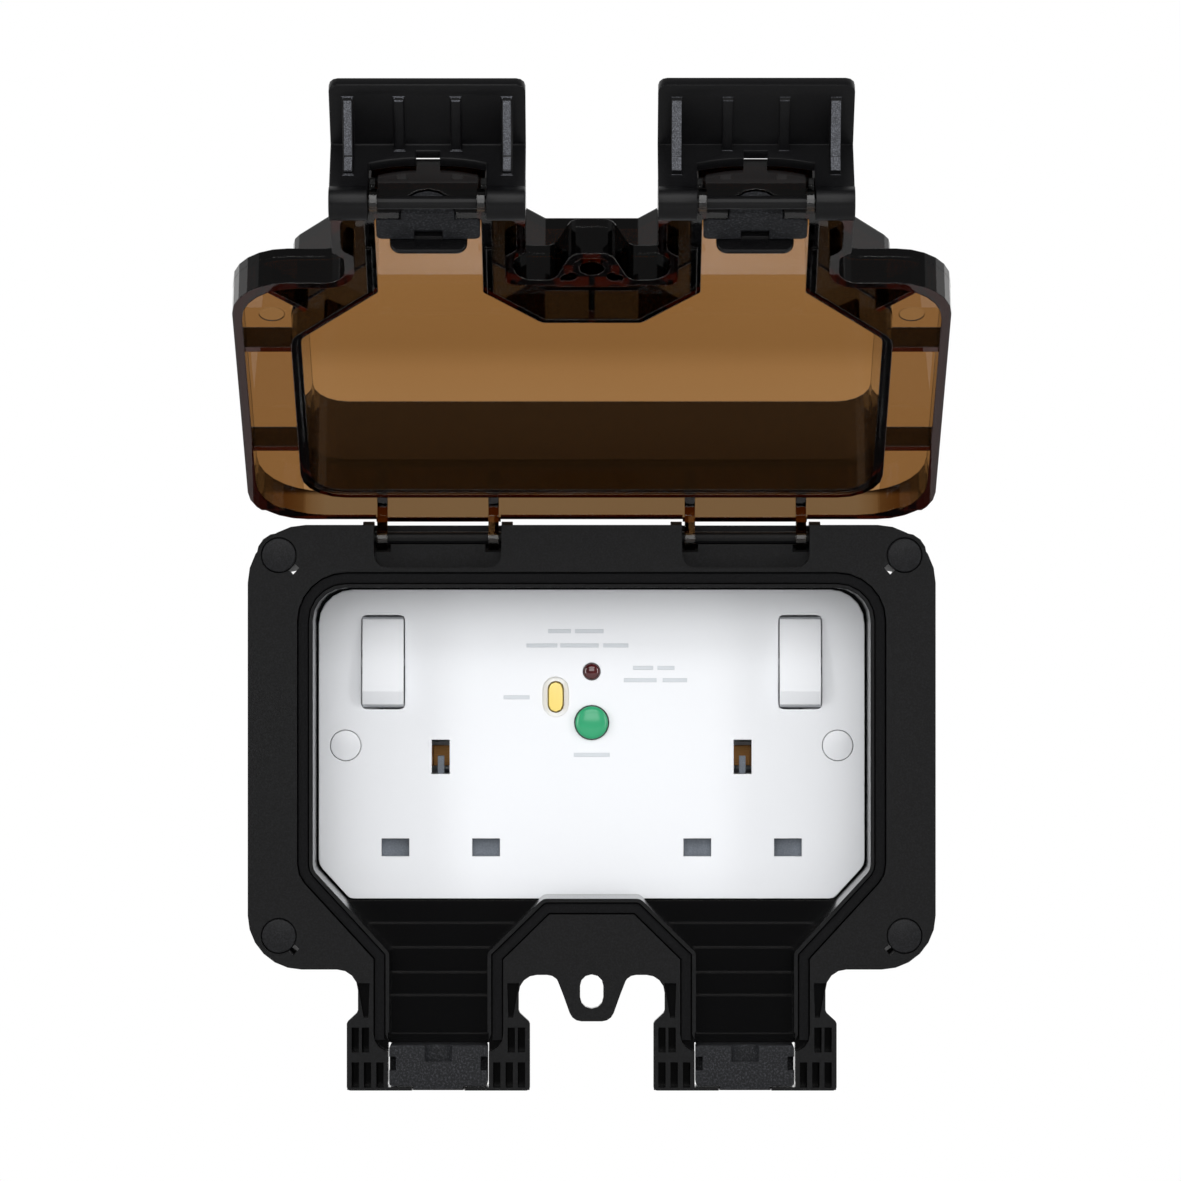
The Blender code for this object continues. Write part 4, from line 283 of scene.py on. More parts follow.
# %% [markdown]
# ## Smoked polycarbonate, moulded clear
# The lid is tinted through and through. One wall over white is a warm brown, and a wall that is
# looked through edgeways, as the chamber's upright sides are, is nearly black. Brown paint would
# hide the room behind it, so the shader lets light through, and absorption inside the solid
# darkens it with depth. Light that runs along inside a wall needs more bounces than a render
# gives it, so the tint also darkens where a wall's normal turns away from the panel's, and at its
# cheeks. A ramp up the lid paints the panel lighter by the hinge, as a painted light gradient.

# %% Sizes and tints of the lid's resin
FLOW_SIZE = 60.0 * MM
SMOKE_COLOUR = "#d4ad43"
SMOKE_PER_METRE = 940.0
FLOW_TINT = "#f6f2ec"
FLANGE_TINT = "#d3c7b4"
EDGEWAYS_TINT = "#2b2625"
OPEN_TILT = math.radians(30.0)
THROUGH_PANEL = (0.0, -math.sin(OPEN_TILT), -math.cos(OPEN_TILT))
UPRIGHT_UNDER = 0.7
FLAT_OVER = 0.95
HINGE_SIDE = 80.0 * MM
LATCH_SIDE = 125.0 * MM
# Painted light: the panel is coloured lighter by the hinge and darker towards the latch, for the
# light falling across it.
HINGE_SIDE_PAINTED_LIGHT = "#ffffff"
LATCH_SIDE_PAINTED_SHADE = "#e9e3d6"
PAINTED_LIGHT_STEPS = ((0.26, "#f8f4ec"), (0.38, "#dfd7c6"))
CHAMBER_HALF_WIDTH = 70.0 * MM
SKIRT_TOP = 61.3 * MM
SKIRT_BLEND = 0.5 * MM
SKIRT_SHARE = 0.6
print("resin absorbs", SMOKE_PER_METRE, "per metre")


# %% Tint of the lid's flat walls
def panel_tint(tree, place):
    """The tint of the flat walls: a painted light gradient up the panel, and one tint for the
    flanges.
    """
    climb = add_node(tree, "ShaderNodeMapRange", {"From Min": HINGE_SIDE, "From Max": LATCH_SIDE},
                     Value=place.outputs["Z"])
    # This ramp paints light and shade up the panel.
    painted_light_ramp = add_node(tree, "ShaderNodeValToRGB", _0=climb.outputs[0])
    painted_light_ramp.color_ramp.elements[0].color = linear(HINGE_SIDE_PAINTED_LIGHT)
    painted_light_ramp.color_ramp.elements[1].color = linear(LATCH_SIDE_PAINTED_SHADE)
    for position, between in PAINTED_LIGHT_STEPS:
        painted_light_ramp.color_ramp.elements.new(position).color = linear(between)
    across = add_node(tree, "ShaderNodeMath", {"operation": "ABSOLUTE"}, _0=place.outputs["X"])
    on_flange = add_node(tree, "ShaderNodeMath", {"operation": "GREATER_THAN",
                                                  1: CHAMBER_HALF_WIDTH}, _0=across.outputs[0])
    return add_node(tree, "ShaderNodeMix", {"data_type": "RGBA", 7: linear(FLANGE_TINT)},
                    Factor=on_flange.outputs[0], _6=painted_light_ramp.outputs["Color"]).outputs[2]


# %% Walls of the lid that are looked through edgeways
def edgeways(tree, place, normal):
    """How far a wall is looked through edgeways, from 0 on the panel to 1 on uprights."""
    facing = add_node(tree, "ShaderNodeVectorMath", {"operation": "DOT_PRODUCT",
                                                     1: THROUGH_PANEL}, _0=normal)
    flatness = add_node(tree, "ShaderNodeMath", {"operation": "ABSOLUTE"},
                        _0=facing.outputs["Value"])
    upright = add_node(tree, "ShaderNodeMapRange", {"From Min": UPRIGHT_UNDER,
                                                    "From Max": FLAT_OVER, "To Min": 1.0,
                                                    "To Max": 0.0}, Value=flatness.outputs[0])
    over_skirt = add_node(tree, "ShaderNodeMapRange", {"From Min": SKIRT_TOP - SKIRT_BLEND,
                                                       "From Max": SKIRT_TOP + SKIRT_BLEND,
                                                       "To Min": SKIRT_SHARE, "To Max": 1.0},
                          Value=place.outputs["Z"])
    share = add_node(tree, "ShaderNodeMath", {"operation": "MULTIPLY"}, _0=upright.outputs[0],
                     _1=over_skirt.outputs[0])
    sideways = add_node(tree, "ShaderNodeSeparateXYZ", Vector=normal)
    cheek = add_node(tree, "ShaderNodeMath", {"operation": "ABSOLUTE"}, _0=sideways.outputs["X"])
    return add_node(tree, "ShaderNodeMath", {"operation": "MAXIMUM"}, _0=share.outputs[0],
                    _1=cheek.outputs[0]).outputs[0]


# %% Lid material
def smoked_polycarbonate():
    """Resin tinted through and through, darker where a wall is looked through edgeways, and painted
    lighter towards the hinge.
    """
    made, tree, shader = start_material("smoked_clear_polycarbonate")
    coordinates = add_node(tree, "ShaderNodeTexCoord")
    place = add_node(tree, "ShaderNodeSeparateXYZ", Vector=coordinates.outputs["Object"])
    flow = add_node(tree, "ShaderNodeTexNoise", {"Scale": 1 / FLOW_SIZE, "Detail": 1.0},
                    Vector=coordinates.outputs["Object"])
    clear = add_node(tree, "ShaderNodeMix", {"data_type": "RGBA", "blend_type": "MULTIPLY",
                                             7: linear(FLOW_TINT)},
                     Factor=flow.outputs["Fac"], _6=panel_tint(tree, place))
    tint = add_node(tree, "ShaderNodeMix", {"data_type": "RGBA", 7: linear(EDGEWAYS_TINT)},
                    Factor=edgeways(tree, place, coordinates.outputs["Normal"]),
                    _6=clear.outputs[2])
    tree.links.new(tint.outputs[2], shader.inputs["Base Color"])
    edge = add_node(tree, "ShaderNodeBevel", {"samples": EDGE_SAMPLES, "Radius": EDGE_ROUND})
    tree.links.new(edge.outputs["Normal"], shader.inputs["Normal"])
    set_plain(shader, {"Transmission Weight": 1.0, "Roughness": 0.02, "IOR": 1.58,
                       "Specular IOR Level": 0.28})
    smoke = add_node(tree, "ShaderNodeVolumeAbsorption", {"Color": linear(SMOKE_COLOUR),
                                                          "Density": SMOKE_PER_METRE})
    tree.links.new(smoke.outputs[0], tree.nodes["Material Output"].inputs["Volume"])
    return made


# %% [markdown]
# ## Urea, compression moulded
# The faceplate and rockers are white urea: dense, faintly bluish, with a satin gloss and the
# barely visible orange peel of a large flat moulding. Plain white would look like paper, so two
# close tones drift across it, and a very shallow bump gives the peel. The coloured buttons and
# the ink on the plate are made by the same function.

# %% White and coloured urea
PEEL_SIZE = 1.6 * MM
PEEL_HEIGHT = 0.01 * MM


def urea(name, light, dark, roughness, coat=0.0):
    """Urea in one colour, with slow variation and a fine orange peel."""
    made, tree, shader = start_material(name)
    place = add_node(tree, "ShaderNodeTexCoord").outputs["Object"]
    tree.links.new(clouds(tree, place, FLOW_SIZE, dark, light), shader.inputs["Base Color"])
    bump = grain_bump(tree, place, PEEL_SIZE, PEEL_HEIGHT, 0.25)
    tree.links.new(bump.outputs[0], shader.inputs["Normal"])
    set_plain(shader, {"Roughness": roughness, "Coat Weight": coat, "IOR": 1.55})
    return made


# %% [markdown]
# ## Metals
# The contacts are pressed from brass strip, and the screws are zinc-plated steel. Both show fine
# drawing lines. An anisotropic shader would blur every reflection the same way, while noise that
# is stretched along the strip draws lines that can be seen through a pin slot.

# %% Metal materials
DRAWN_LINE = 0.15 * MM
DRAWN_STRETCH = (0.05, 1.0, 1.0)
METAL_EDGE = 0.15 * MM


def drawn_metal(name, light, dark, roughness):
    """Metal with fine lines: noise stretched along the drawing direction."""
    made, tree, shader = start_material(name)
    place = add_node(tree, "ShaderNodeTexCoord").outputs["Object"]
    stretched = add_node(tree, "ShaderNodeMapping", {"Scale": DRAWN_STRETCH}, Vector=place)
    tone = clouds(tree, stretched.outputs[0], DRAWN_LINE, dark, light)
    tree.links.new(tone, shader.inputs["Base Color"])
    edge = add_node(tree, "ShaderNodeBevel", {"samples": EDGE_SAMPLES, "Radius": METAL_EDGE})
    tree.links.new(edge.outputs["Normal"], shader.inputs["Normal"])
    set_plain(shader, {"Metallic": 1.0, "Roughness": roughness})
    return made


# %% [markdown]
# ## The indicator lens
# A dark red moulded lens stands over an unlit lamp. Glass with a lamp behind it would be truer
# and slower, and at this size a deep red body under a clear coat looks the same.

# %% Lens material
LENS_DEPTH = 2.0 * MM


def dark_lens():
    """Dark red styrene with a polished face."""
    made, tree, shader = start_material("dark_red_styrene_lens")
    place = add_node(tree, "ShaderNodeTexCoord").outputs["Object"]
    tone = clouds(tree, place, LENS_DEPTH, "#2c0a0c", "#5a1a1c")
    tree.links.new(tone, shader.inputs["Base Color"])
    set_plain(shader, {"Roughness": 0.08, "Coat Weight": 1.0, "IOR": 1.59})
    return made


# %% [markdown]
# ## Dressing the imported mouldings
# Every packed moulding gets the finish of its real material, also those inside that only show
# through a slot. Forty lines could say so one by one, but left and right pieces share the start
# of their names, so a table of starts and one loop dress them all.

# %% Finishes
housing_finish = spark_abs()
latch_finish = fine_abs("fine_grained_black_abs", "#070708", "#0f0f11", 0.34, 0.12)
# Painted sheen: grey flecks on the gusset tops stand for the light they catch; their roughness is
# real.
gusset_sheen_finish = fine_abs("gusset_top_painted_sheen_abs", "#35363a", "#66686e", 0.55, 0.8)
cap_finish = fine_abs("corner_cap_black_abs", "#0c0c0e", "#202124", 0.44, 0.3)
pin_finish = fine_abs("black_nylon_rod", "#0a0a0b", "#121213", 0.4, 0.05)
lip_finish = fine_abs("glossy_rubber_lip", "#0b0b0c", "#141415", 0.16, 0.0)
rubber_finish = moulded_rubber("compression_moulded_epdm", "#1c1d1f", "#4c4d52")
gasket_finish = moulded_rubber("extruded_epdm_gasket", "#08080a", "#1b1c1e")
lid_finish = smoked_polycarbonate()
white_finish = urea("white_urea", "#eceef1", "#e8eaee", 0.25)
mark_finish = urea("pale_grey_ink", "#ced3d8", "#cacfd4", 0.5)
green_finish = urea("green_urea", "#2fa673", "#2b9b6a", 0.22, 0.3)
yellow_finish = urea("yellow_urea", "#f6dc7c", "#f0d36f", 0.3)
grey_finish = fine_abs("grey_moulded_nylon", "#686e76", "#767c84", 0.5, 0.1)
brass_finish = drawn_metal("pressed_brass_strip", "#b98a55", "#8f643a", 0.34)
zinc_finish = drawn_metal("zinc_plated_steel", "#c9cbce", "#a7aaae", 0.3)
lens_finish = dark_lens()
print(len(bpy.data.materials), "materials in the file, those of the packed model among them")

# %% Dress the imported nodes
FINISHES = {"rear_housing": housing_finish, "corner_cap": cap_finish, "gasket": gasket_finish,
            "base_cable_seal": rubber_finish, "lid_cable_seal": rubber_finish,
            "hinge_pin": pin_finish, "latch_pin": pin_finish, "latch": latch_finish,
            "faceplate": white_finish, "rocker": white_finish, "plate_screw_cap": white_finish,
            "plate_screw": zinc_finish, "test_button": yellow_finish,
            "reset_button": green_finish, "led_lens": lens_finish, "shutter": grey_finish,
            "live_contact": brass_finish, "neutral_contact": brass_finish,
            "earth_bar": brass_finish, "socket_rear_cover": white_finish,
            "rcd_module": grey_finish, "terminal_screw": brass_finish, "lid_shell": lid_finish}


def finish_for(node_name):
    """The finish whose name is the longest start of the node's name."""
    starts = [start for start in FINISHES if node_name.startswith(start)]
    return FINISHES[max(starts, key=len)]


def give(piece, *finishes):
    """Make these finishes the only ones on a piece, in this order."""
    piece.data.materials.clear()
    for finish in finishes:
        piece.data.materials.append(finish)


for node_name, node in frame["nodes"].items():
    give(node, finish_for(node_name))
print("dressed", len(frame["nodes"]), "nodes")

# %% [markdown]
# ## Small mouldings with soft edges
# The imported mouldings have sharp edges, because their job is size and fit. A real moulding has a
# small round on every edge, and that round is what catches the light. Modelling each one afresh
# would risk a different size. So each small visible moulding is taken again from its own mesh,
# its facets are merged, and a bevel rounds its edges.

# %% Helpers for soft edges
MERGE = 0.003 * MM
FLAT_ENOUGH = math.radians(1.0)
SMOOTH_UNDER = math.radians(30.0)


def body_of(node_name):
    """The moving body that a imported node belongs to."""
    bodies = frame["record"]["behaviour"]["bodies"]
    return next(body for body, names in bodies.items() if node_name in names)


def work_on(piece):
    """Make one piece the only selected and the active one."""
    bpy.ops.object.select_all(action="DESELECT")
    bpy.context.view_layer.objects.active = piece
    piece.select_set(True)


def round_edges(piece, width, segments=3, angle=35.0):
    """Round every edge that turns more than the angle, in degrees."""
    work_on(piece)
    rounds = piece.modifiers.new("edge_rounds", "BEVEL")
    rounds.width = width
    rounds.segments = segments
    rounds.limit_method = "ANGLE"
    rounds.angle_limit = math.radians(angle)
    bpy.ops.object.modifier_apply(modifier=rounds.name)
    bpy.ops.object.shade_smooth_by_angle(angle=SMOOTH_UNDER)


def moulding_again(node_name):
    """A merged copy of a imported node's mesh, which stands for that node."""
    mesh = frame["nodes"][node_name].data.copy()
    piece = bpy.data.objects.new(node_name + "_moulding", mesh)
    bpy.context.scene.collection.objects.link(piece)
    work_on(piece)
    bpy.ops.object.mode_set(mode="EDIT")
    bpy.ops.mesh.select_all(action="SELECT")
    bpy.ops.mesh.remove_doubles(threshold=MERGE)
    bpy.ops.mesh.dissolve_limited(angle_limit=FLAT_ENOUGH)
    bpy.ops.mesh.normals_make_consistent(inside=False)
    bpy.ops.object.mode_set(mode="OBJECT")
    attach(piece, body_of(node_name))
    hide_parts(node_name)
    return piece


# %% [markdown]
# ## The two latches
# Each is one black moulding: a plate with four gussets, whose tops are rougher than the plate,
# and two barrels on the pin. The tops slope towards the front lamps, and their grey is a painted
# sheen for the light they catch, on top of their real roughness. It could be painted by a mask in
# the material, but the tops are a few whole faces, so they are found by place and normal and take a
# second finish.

# %% Latches
LATCH_ROUND = 0.35 * MM
# Each gusset's distance from the latch's middle, and the share of its height where its top starts.
GUSSETS = ((6.4 * MM, 0.47), (17.9 * MM, 0.3))
GUSSET_TOP_HALF = 1.118 * MM
GUSSET_TOP_AREA = 45.0 * MM ** 2
TOP_NORMAL_Y = (-0.97, -0.6)
TOP_NORMAL_X = 0.2
TOP_NORMAL_Z = 0.6


def is_gusset_top(face, middle_x, low, high):
    """Whether a face slopes to the front on top of one of the latch's four gussets."""
    across = abs(face.center.x - middle_x)
    up = (face.center.z - low.z) / (high.z - low.z)
    on_gusset = any(abs(across - place) < GUSSET_TOP_HALF and up > foot
                    for place, foot in GUSSETS)
    slopes = (TOP_NORMAL_Y[0] < face.normal.y < TOP_NORMAL_Y[1]
              and abs(face.normal.x) < TOP_NORMAL_X and abs(face.normal.z) < TOP_NORMAL_Z)
    return on_gusset and slopes and face.area < GUSSET_TOP_AREA


for side_name, side in (("left", -1), ("right", 1)):
    latch = moulding_again("latch_" + side_name)
    round_edges(latch, LATCH_ROUND)
    give(latch, latch_finish, gusset_sheen_finish)
    low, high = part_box("latch_" + side_name)
    # The gusset tops take the finish with the painted sheen.
    tops = [face for face in latch.data.polygons if is_gusset_top(face, side * SOCKET_X, low, high)]
    for face in tops:
        face.material_index = 1
    print(latch.name, len(latch.data.polygons), "faces,", len(tops), "of them gusset tops")

# %% [markdown]
# ## Seals and covers
# The rubber blocks, the corner caps and the discs over the plate's screws are simple mouldings
# that only need their rounds. A rubber block is rounder than a hard cap, so each kind has its own
# width, and one loop over the nodes' names makes them.

# %% Seals and covers
SEAL_ROUND = 0.35 * MM
CAP_ROUND = 0.22 * MM
DISC_ROUND = 0.1 * MM
EDGE_WIDTHS = {"base_cable_seal": SEAL_ROUND, "lid_cable_seal": SEAL_ROUND,
               "corner_cap": CAP_ROUND, "plate_screw_cap": DISC_ROUND}

for node_name in frame["nodes"]:
    kind = next((start for start in EDGE_WIDTHS if node_name.startswith(start)), None)
    if kind:
        cover = moulding_again(node_name)
        round_edges(cover, EDGE_WIDTHS[kind])
        give(cover, finish_for(node_name))
        print(cover.name, len(cover.data.polygons), "faces")

# %% [markdown]
# ## Lips of the lid's seals
# Each lid seal has a thin glossy lip that dips into the channel and presses on the lead when the
# lid is shut, and a foot that joins it to the block. It is easiest to measure with the lid shut,
# where it lies along the axes, so each block is given there and made where the open lid holds it.
# A wide bevel along its free edge gives the nose that slides over the lead.

# %% Helper for blocks on the open lid
LID_ANGLE = math.radians(-120.0)
HINGE_AXIS = Vector((0.0, -56.0, 50.55)) * MM


def lid_block(name, x_middle, half_width, low, high):
    """A block given in the shut lid's Y and Z, made where it stands with the lid open."""
    middle = Vector((0.0, (low[0] + high[0]) / 2, (low[1] + high[1]) / 2)) - HINGE_AXIS
    cosine = math.cos(LID_ANGLE)
    sine = math.sin(LID_ANGLE)
    opened = HINGE_AXIS + Vector((x_middle, middle.y * cosine - middle.z * sine,
                                  middle.y * sine + middle.z * cosine))
    bpy.ops.object.select_all(action="DESELECT")
    bpy.ops.mesh.primitive_cube_add(size=1.0, location=opened, rotation=(LID_ANGLE, 0.0, 0.0),
                                    scale=(2 * half_width, high[0] - low[0], high[1] - low[1]))
    block = bpy.context.active_object
    block.name = name
    bpy.ops.object.transform_apply(location=True, rotation=True, scale=True)
    return block


# %% Lips
LIP_HALF_WIDTH = 8.8 * MM
LIP_LOW = (-67.3 * MM, -71.55 * MM)
LIP_HIGH = (-59.6 * MM, -70.15 * MM)
NOSE_REACH = 1.5 * MM
NOSE_ROUND = 2.6 * MM
NOSE_SEGMENTS = 8
FOOT_HALF_WIDTH = LIP_HALF_WIDTH - 1.0 * MM
FOOT_LOW = (-67.3 * MM, -72.1 * MM)
FOOT_HIGH = (-62.9 * MM, -71.4 * MM)
LIP_ROUND = 0.25 * MM

for side_name, side in (("left", -1), ("right", 1)):
    lip = lid_block("seal_lip_" + side_name, side * SOCKET_X, LIP_HALF_WIDTH, LIP_LOW, LIP_HIGH)
    bpy.ops.object.mode_set(mode="EDIT")
    bpy.ops.mesh.select_mode(type="EDGE")
    bpy.ops.mesh.select_all(action="DESELECT")
    bpy.ops.object.mode_set(mode="OBJECT")
    lowest = min(vertex.co.z for vertex in lip.data.vertices)
    for edge in lip.data.edges:
        ends = [lip.data.vertices[index].co for index in edge.vertices]
        edge.select = (abs(ends[0].x - ends[1].x) < MERGE
                       and max(end.z for end in ends) < lowest + NOSE_REACH)
    bpy.ops.object.mode_set(mode="EDIT")
    bpy.ops.mesh.bevel(offset=NOSE_ROUND, segments=NOSE_SEGMENTS, affect="EDGES")
    bpy.ops.object.mode_set(mode="OBJECT")
    foot = lid_block("lip_foot", side * SOCKET_X, FOOT_HALF_WIDTH, FOOT_LOW, FOOT_HIGH)
    work_on(lip)
    foot.select_set(True)
    bpy.ops.object.join()
    round_edges(lip, LIP_ROUND)
    give(lip, lip_finish)
    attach(lip, "lid")
    print(lip.name, len(lip.data.polygons), "faces")

# %% [markdown]
# ## Rockers
# Each rocker turns on an axle, so its ends are arcs. Its bottom end stands proud with the socket
# off, and is cut back to a slanting facet that a finger presses. A boolean with a block would cut
# it too, but one bisect with the cut filled says it in a single plane.

# %% Rockers
ROCKER_ROUND = 0.5 * MM
ROCKER_TURN = 14.0
FACET_START = Vector((0.0, -39.74, 13.1)) * MM
FACET_NORMAL = Vector((0.0, -0.918, -0.395))

for side_name in ("left", "right"):
    rocker = moulding_again("rocker_" + side_name)
    bpy.ops.object.mode_set(mode="EDIT")
    bpy.ops.mesh.select_all(action="SELECT")
    bpy.ops.mesh.bisect(plane_co=FACET_START, plane_no=FACET_NORMAL, use_fill=True,
                        clear_outer=True)
    bpy.ops.object.mode_set(mode="OBJECT")
    round_edges(rocker, ROCKER_ROUND, segments=4, angle=ROCKER_TURN)
    give(rocker, white_finish)
    print(rocker.name, len(rocker.data.polygons), "faces")

# %% [markdown]
# ## Buttons and indicator
# The reset button and the lens are domes. A low dome could be spun from a profile, but a sphere
# flattened to the crown has the right curve already: it is cut at its widest ring, and that ring
# is drawn back into the hole. The test button is an oblong that only needs its rounds.

# %% Helper for domes
FACES_BACK = 0.99
DOME_SMOOTH_UNDER = math.radians(40.0)


def domed_button(name, place, radius, crown, node_name, box, finish):
    """A dome of that crown, over a round shaft to the back of the node's box."""
    low, high = box
    rim_y = low.y + crown
    rim = (place[0], rim_y, place[1])
    bpy.ops.object.select_all(action="DESELECT")
    bpy.ops.mesh.primitive_uv_sphere_add(segments=64, ring_count=32, radius=1.0, location=rim,
                                         rotation=(math.radians(90), 0, 0),
                                         scale=(radius, radius, crown))
    dome = bpy.context.active_object
    dome.name = name
    bpy.ops.object.transform_apply(location=True, rotation=True, scale=True)
    bpy.ops.object.mode_set(mode="EDIT")
    bpy.ops.mesh.select_all(action="SELECT")
    bpy.ops.mesh.bisect(plane_co=rim, plane_no=(0.0, 1.0, 0.0), use_fill=True, clear_outer=True)
    bpy.ops.mesh.select_mode(type="FACE")
    bpy.ops.mesh.select_all(action="DESELECT")
    bpy.ops.object.mode_set(mode="OBJECT")
    for face in dome.data.polygons:
        face.select = face.normal.y > FACES_BACK and abs(face.center.y - rim_y) < MERGE
    bpy.ops.object.mode_set(mode="EDIT")
    bpy.ops.mesh.extrude_region_move(TRANSFORM_OT_translate={"value": (0.0, high.y - rim_y, 0.0)})
    bpy.ops.object.mode_set(mode="OBJECT")
    bpy.ops.object.shade_smooth_by_angle(angle=DOME_SMOOTH_UNDER)
    give(dome, finish)
    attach(dome, body_of(node_name))
    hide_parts(node_name)
    print(name, len(dome.data.polygons), "faces")


# %% Domes
RESET_PLACE = (0.0, 5.4 * MM)
RESET_RADIUS = 4.0 * MM
RESET_CROWN = 1.1 * MM
LENS_PLACE = (0.0, 17.9 * MM)
LENS_RADIUS = 2.0 * MM
LENS_CROWN = 0.9 * MM
domed_button("reset_dome", RESET_PLACE, RESET_RADIUS, RESET_CROWN, "reset_button",
             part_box("reset_button"), green_finish)
domed_button("indicator_dome", LENS_PLACE, LENS_RADIUS, LENS_CROWN, "led_lens",
             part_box("led_lens"), lens_finish)

# %% Test button
TEST_ROUND = 0.4 * MM
test_button = moulding_again("test_button")
round_edges(test_button, TEST_ROUND, segments=4)
give(test_button, yellow_finish)
print(test_button.name, len(test_button.data.polygons), "faces")

# %% [markdown]
# ## Marks on the faceplate
# The plate carries short lines of pale grey print. A mask in the urea could draw them, but they
# would fade into its noise, so they are thin films of ink that stand a hair over the plate, as
# pad printing does. They are joined into one piece, because they share one finish.

# %% Dashes
# Each dash's middle in X and Z, and its length, all in millimetres.
DASHES = ((-7.9, 27.8, 5.6), (-0.6, 27.8, 7.0), (-12.2, 24.3, 7.6), (-3.0, 24.3, 9.4),
          (5.9, 24.3, 6.2), (12.6, 18.8, 5.0), (18.2, 18.8, 4.2), (11.9, 15.8, 8.0),
          (20.4, 15.8, 6.0), (-18.4, 11.6, 6.4), (0.0, -2.5, 8.8))
DASH_HEIGHT = 1.0 * MM
INK_FILM = 0.02 * MM
dashes = []

for x, z, length in DASHES:
    bpy.ops.object.select_all(action="DESELECT")
    bpy.ops.mesh.primitive_cube_add(size=1.0, location=(x * MM, PLATE_FACE, z * MM),
                                    scale=(length * MM, 2 * INK_FILM, DASH_HEIGHT))
    bpy.ops.object.transform_apply(location=True, rotation=True, scale=True)
    dashes.append(bpy.context.active_object)
work_on(dashes[0])
for dash in dashes:
    dash.select_set(True)
bpy.ops.object.join()
marks = bpy.context.active_object
marks.name = "plate_dashes"
give(marks, mark_finish)
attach(marks, body_of("faceplate"))
print(marks.name, len(DASHES), "dashes")

# %% [markdown]
# ## The board under the object
# The picture is on pure white. A white board would throw light up into the black mouldings, so
# the board is pale grey, and for camera rays alone it glows a little, which lifts it to near
# white and leaves the soft shadow on it.

# %% Floor
FLOOR_SIZE = 3.0
FLOOR_DROP = 300.0 * MM
FLOOR_LIFT = 0.38
WHITE = linear("#ffffff")

bpy.ops.mesh.primitive_plane_add(size=FLOOR_SIZE, location=(0.0, 0.0, -FLOOR_DROP))
floor = bpy.context.active_object
floor.name = "studio_floor"
floor_finish, floor_tree, floor_shader = start_material("pale_floor_board")
floor_rays = add_node(floor_tree, "ShaderNodeLightPath")
floor_lift = add_node(floor_tree, "ShaderNodeMath", {"operation": "MULTIPLY", 1: FLOOR_LIFT},
                      _0=floor_rays.outputs["Is Camera Ray"])
floor_tree.links.new(floor_lift.outputs[0], floor_shader.inputs["Emission Strength"])
set_plain(floor_shader, {"Base Color": linear("#c8c8c8"), "Roughness": 0.8,
                         "Emission Color": WHITE})
give(floor, floor_finish)
print(floor.name, FLOOR_SIZE, "m square,", FLOOR_DROP, "m below the origin")

# %% [markdown]
# ## The room
# A room that is white all round would turn the black plastic grey, because every flat face mirrors
# it. So glossy rays meet a room that is dim in front and white behind, and keep their contrast.
# Diffuse light comes mostly from low in front, where the open lid can't shade the faceplate, and
# no mirror shows where it comes from. Camera rays, and those that pass through the lid, meet
# plain white.

# %% Room
MIRRORED_FRONT = 0.12
MIRRORED_WHITE_FROM = 0.9
FILL_FROM = (0.0, -0.85, -0.53)
FILL_STARTS = 0.2
FILL_WEAK = 0.38
FILL_STRONG = 2.15

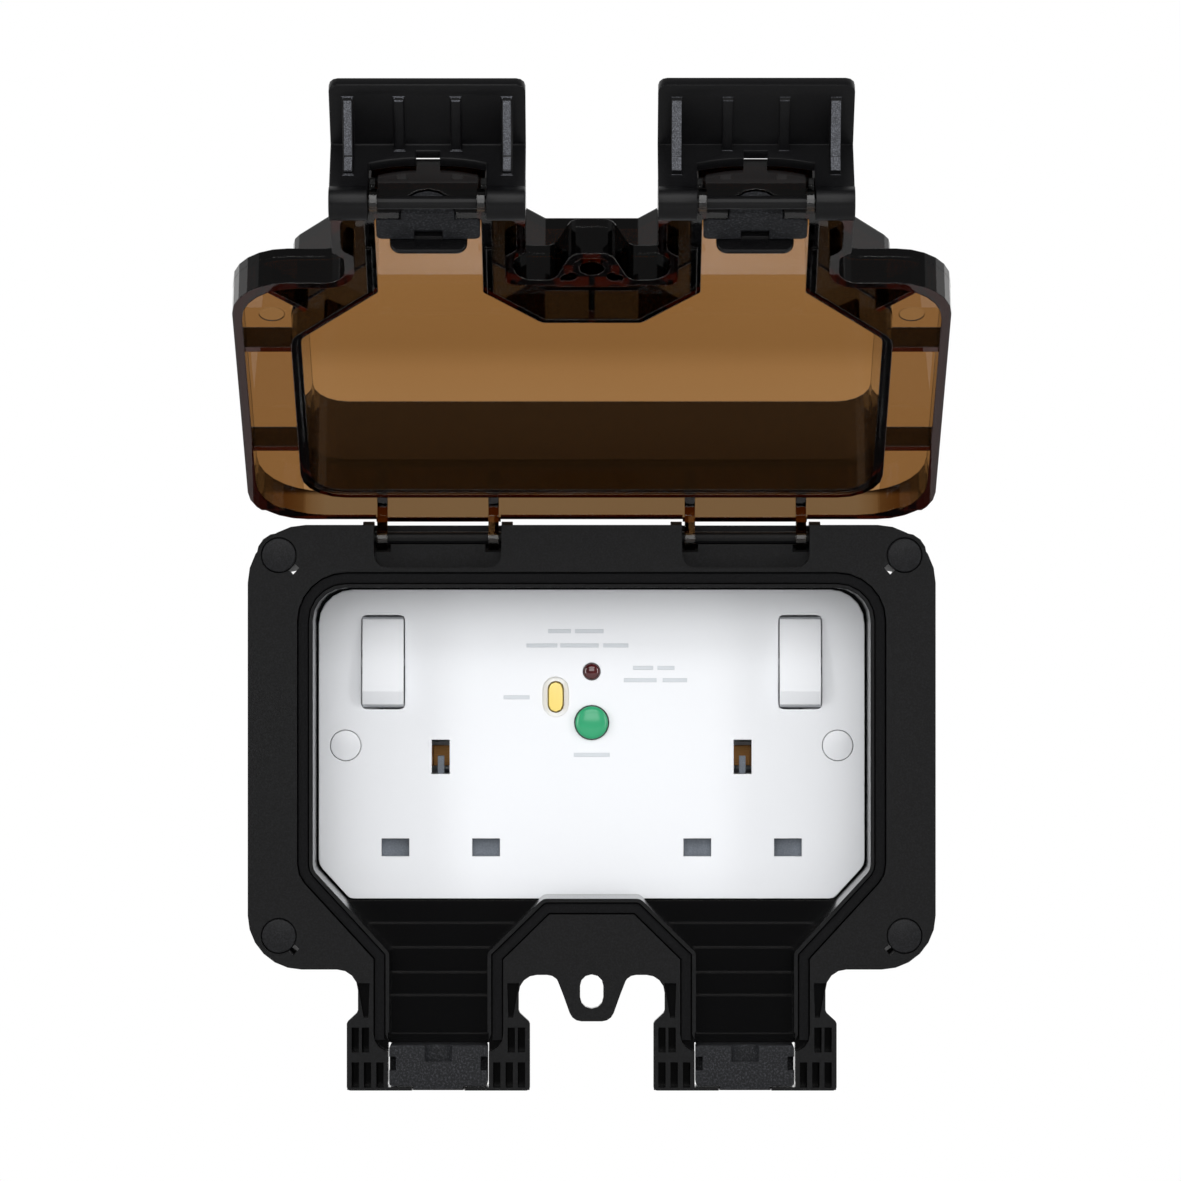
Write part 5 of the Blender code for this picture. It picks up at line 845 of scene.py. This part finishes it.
world = bpy.data.worlds.new("white_room")
world.use_nodes = True
bpy.context.scene.world = world
room = world.node_tree
room.nodes.clear()
rays = add_node(room, "ShaderNodeLightPath")
direction = add_node(room, "ShaderNodeTexCoord").outputs["Generated"]
facing = add_node(room, "ShaderNodeSeparateXYZ", Vector=direction)
mirrored = add_node(room, "ShaderNodeMapRange", {"From Min": 0.0,
                                                 "From Max": MIRRORED_WHITE_FROM,
                                                 "To Min": MIRRORED_FRONT, "To Max": 1.0},
                    Value=facing.outputs["Y"])
towards = add_node(room, "ShaderNodeVectorMath", {"operation": "DOT_PRODUCT", 1: FILL_FROM},
                   _0=direction)
fill = add_node(room, "ShaderNodeMapRange", {"From Min": FILL_STARTS, "From Max": 1.0,
                                             "To Min": FILL_WEAK, "To Max": FILL_STRONG},
                Value=towards.outputs["Value"])
level = add_node(room, "ShaderNodeMix", {"data_type": "FLOAT"},
                 Factor=rays.outputs["Is Glossy Ray"], _2=fill.outputs[0], _3=mirrored.outputs[0])
sees_white = add_node(room, "ShaderNodeMath", {"operation": "MAXIMUM"},
                      _0=rays.outputs["Is Camera Ray"], _1=rays.outputs["Is Transmission Ray"])
strength = add_node(room, "ShaderNodeMix", {"data_type": "FLOAT", 3: 1.0},
                    Factor=sees_white.outputs[0], _2=level.outputs[0])
background = add_node(room, "ShaderNodeBackground", {"Color": WHITE}, Strength=strength.outputs[0])
add_node(room, "ShaderNodeOutputWorld", Surface=background.outputs[0])
print("room of", len(room.nodes), "nodes")

# %% [markdown]
# ## The lamps
# Two tall narrow lamps at the sides draw thin streaks along the edges, one over the object lights
# its upper faces, and one in front, higher than the camera, lights the plate. Small lamps would
# give hard shadows and sparks, so all are large, and they stand off the camera's axis, where the
# flat black faces don't mirror them.

# %% Lamps
LAMP_AIM = Vector((0.0, -0.06, 0.03))
# Each lamp's name, its place and its width and height in metres, and its power in watts.
LAMPS = (("left_softbox", (-1.3, -1.0, 0.2), (0.22, 1.3), 6.5),
         ("right_softbox", (1.3, -1.0, 0.2), (0.22, 1.3), 5.5),
         ("overhead_softbox", (0.0, -1.35, 1.1), (1.3, 0.7), 7.5),
         ("front_softbox", (0.0, -1.65, 0.42), (1.0, 0.6), 4.0))

for lamp_name, lamp_place, (lamp_width, lamp_height), watts in LAMPS:
    lamp_data = bpy.data.lights.new(lamp_name, "AREA")
    lamp_data.shape = "RECTANGLE"
    lamp_data.size = lamp_width
    lamp_data.size_y = lamp_height
    lamp_data.energy = watts
    lamp = bpy.data.objects.new(lamp_name, lamp_data)
    bpy.context.scene.collection.objects.link(lamp)
    lamp.location = lamp_place
    lamp_aim = LAMP_AIM - Vector(lamp_place)
    lamp.rotation_euler = lamp_aim.to_track_quat("-Z", "Y").to_euler()
print("lit by", len(LAMPS), "lamps")
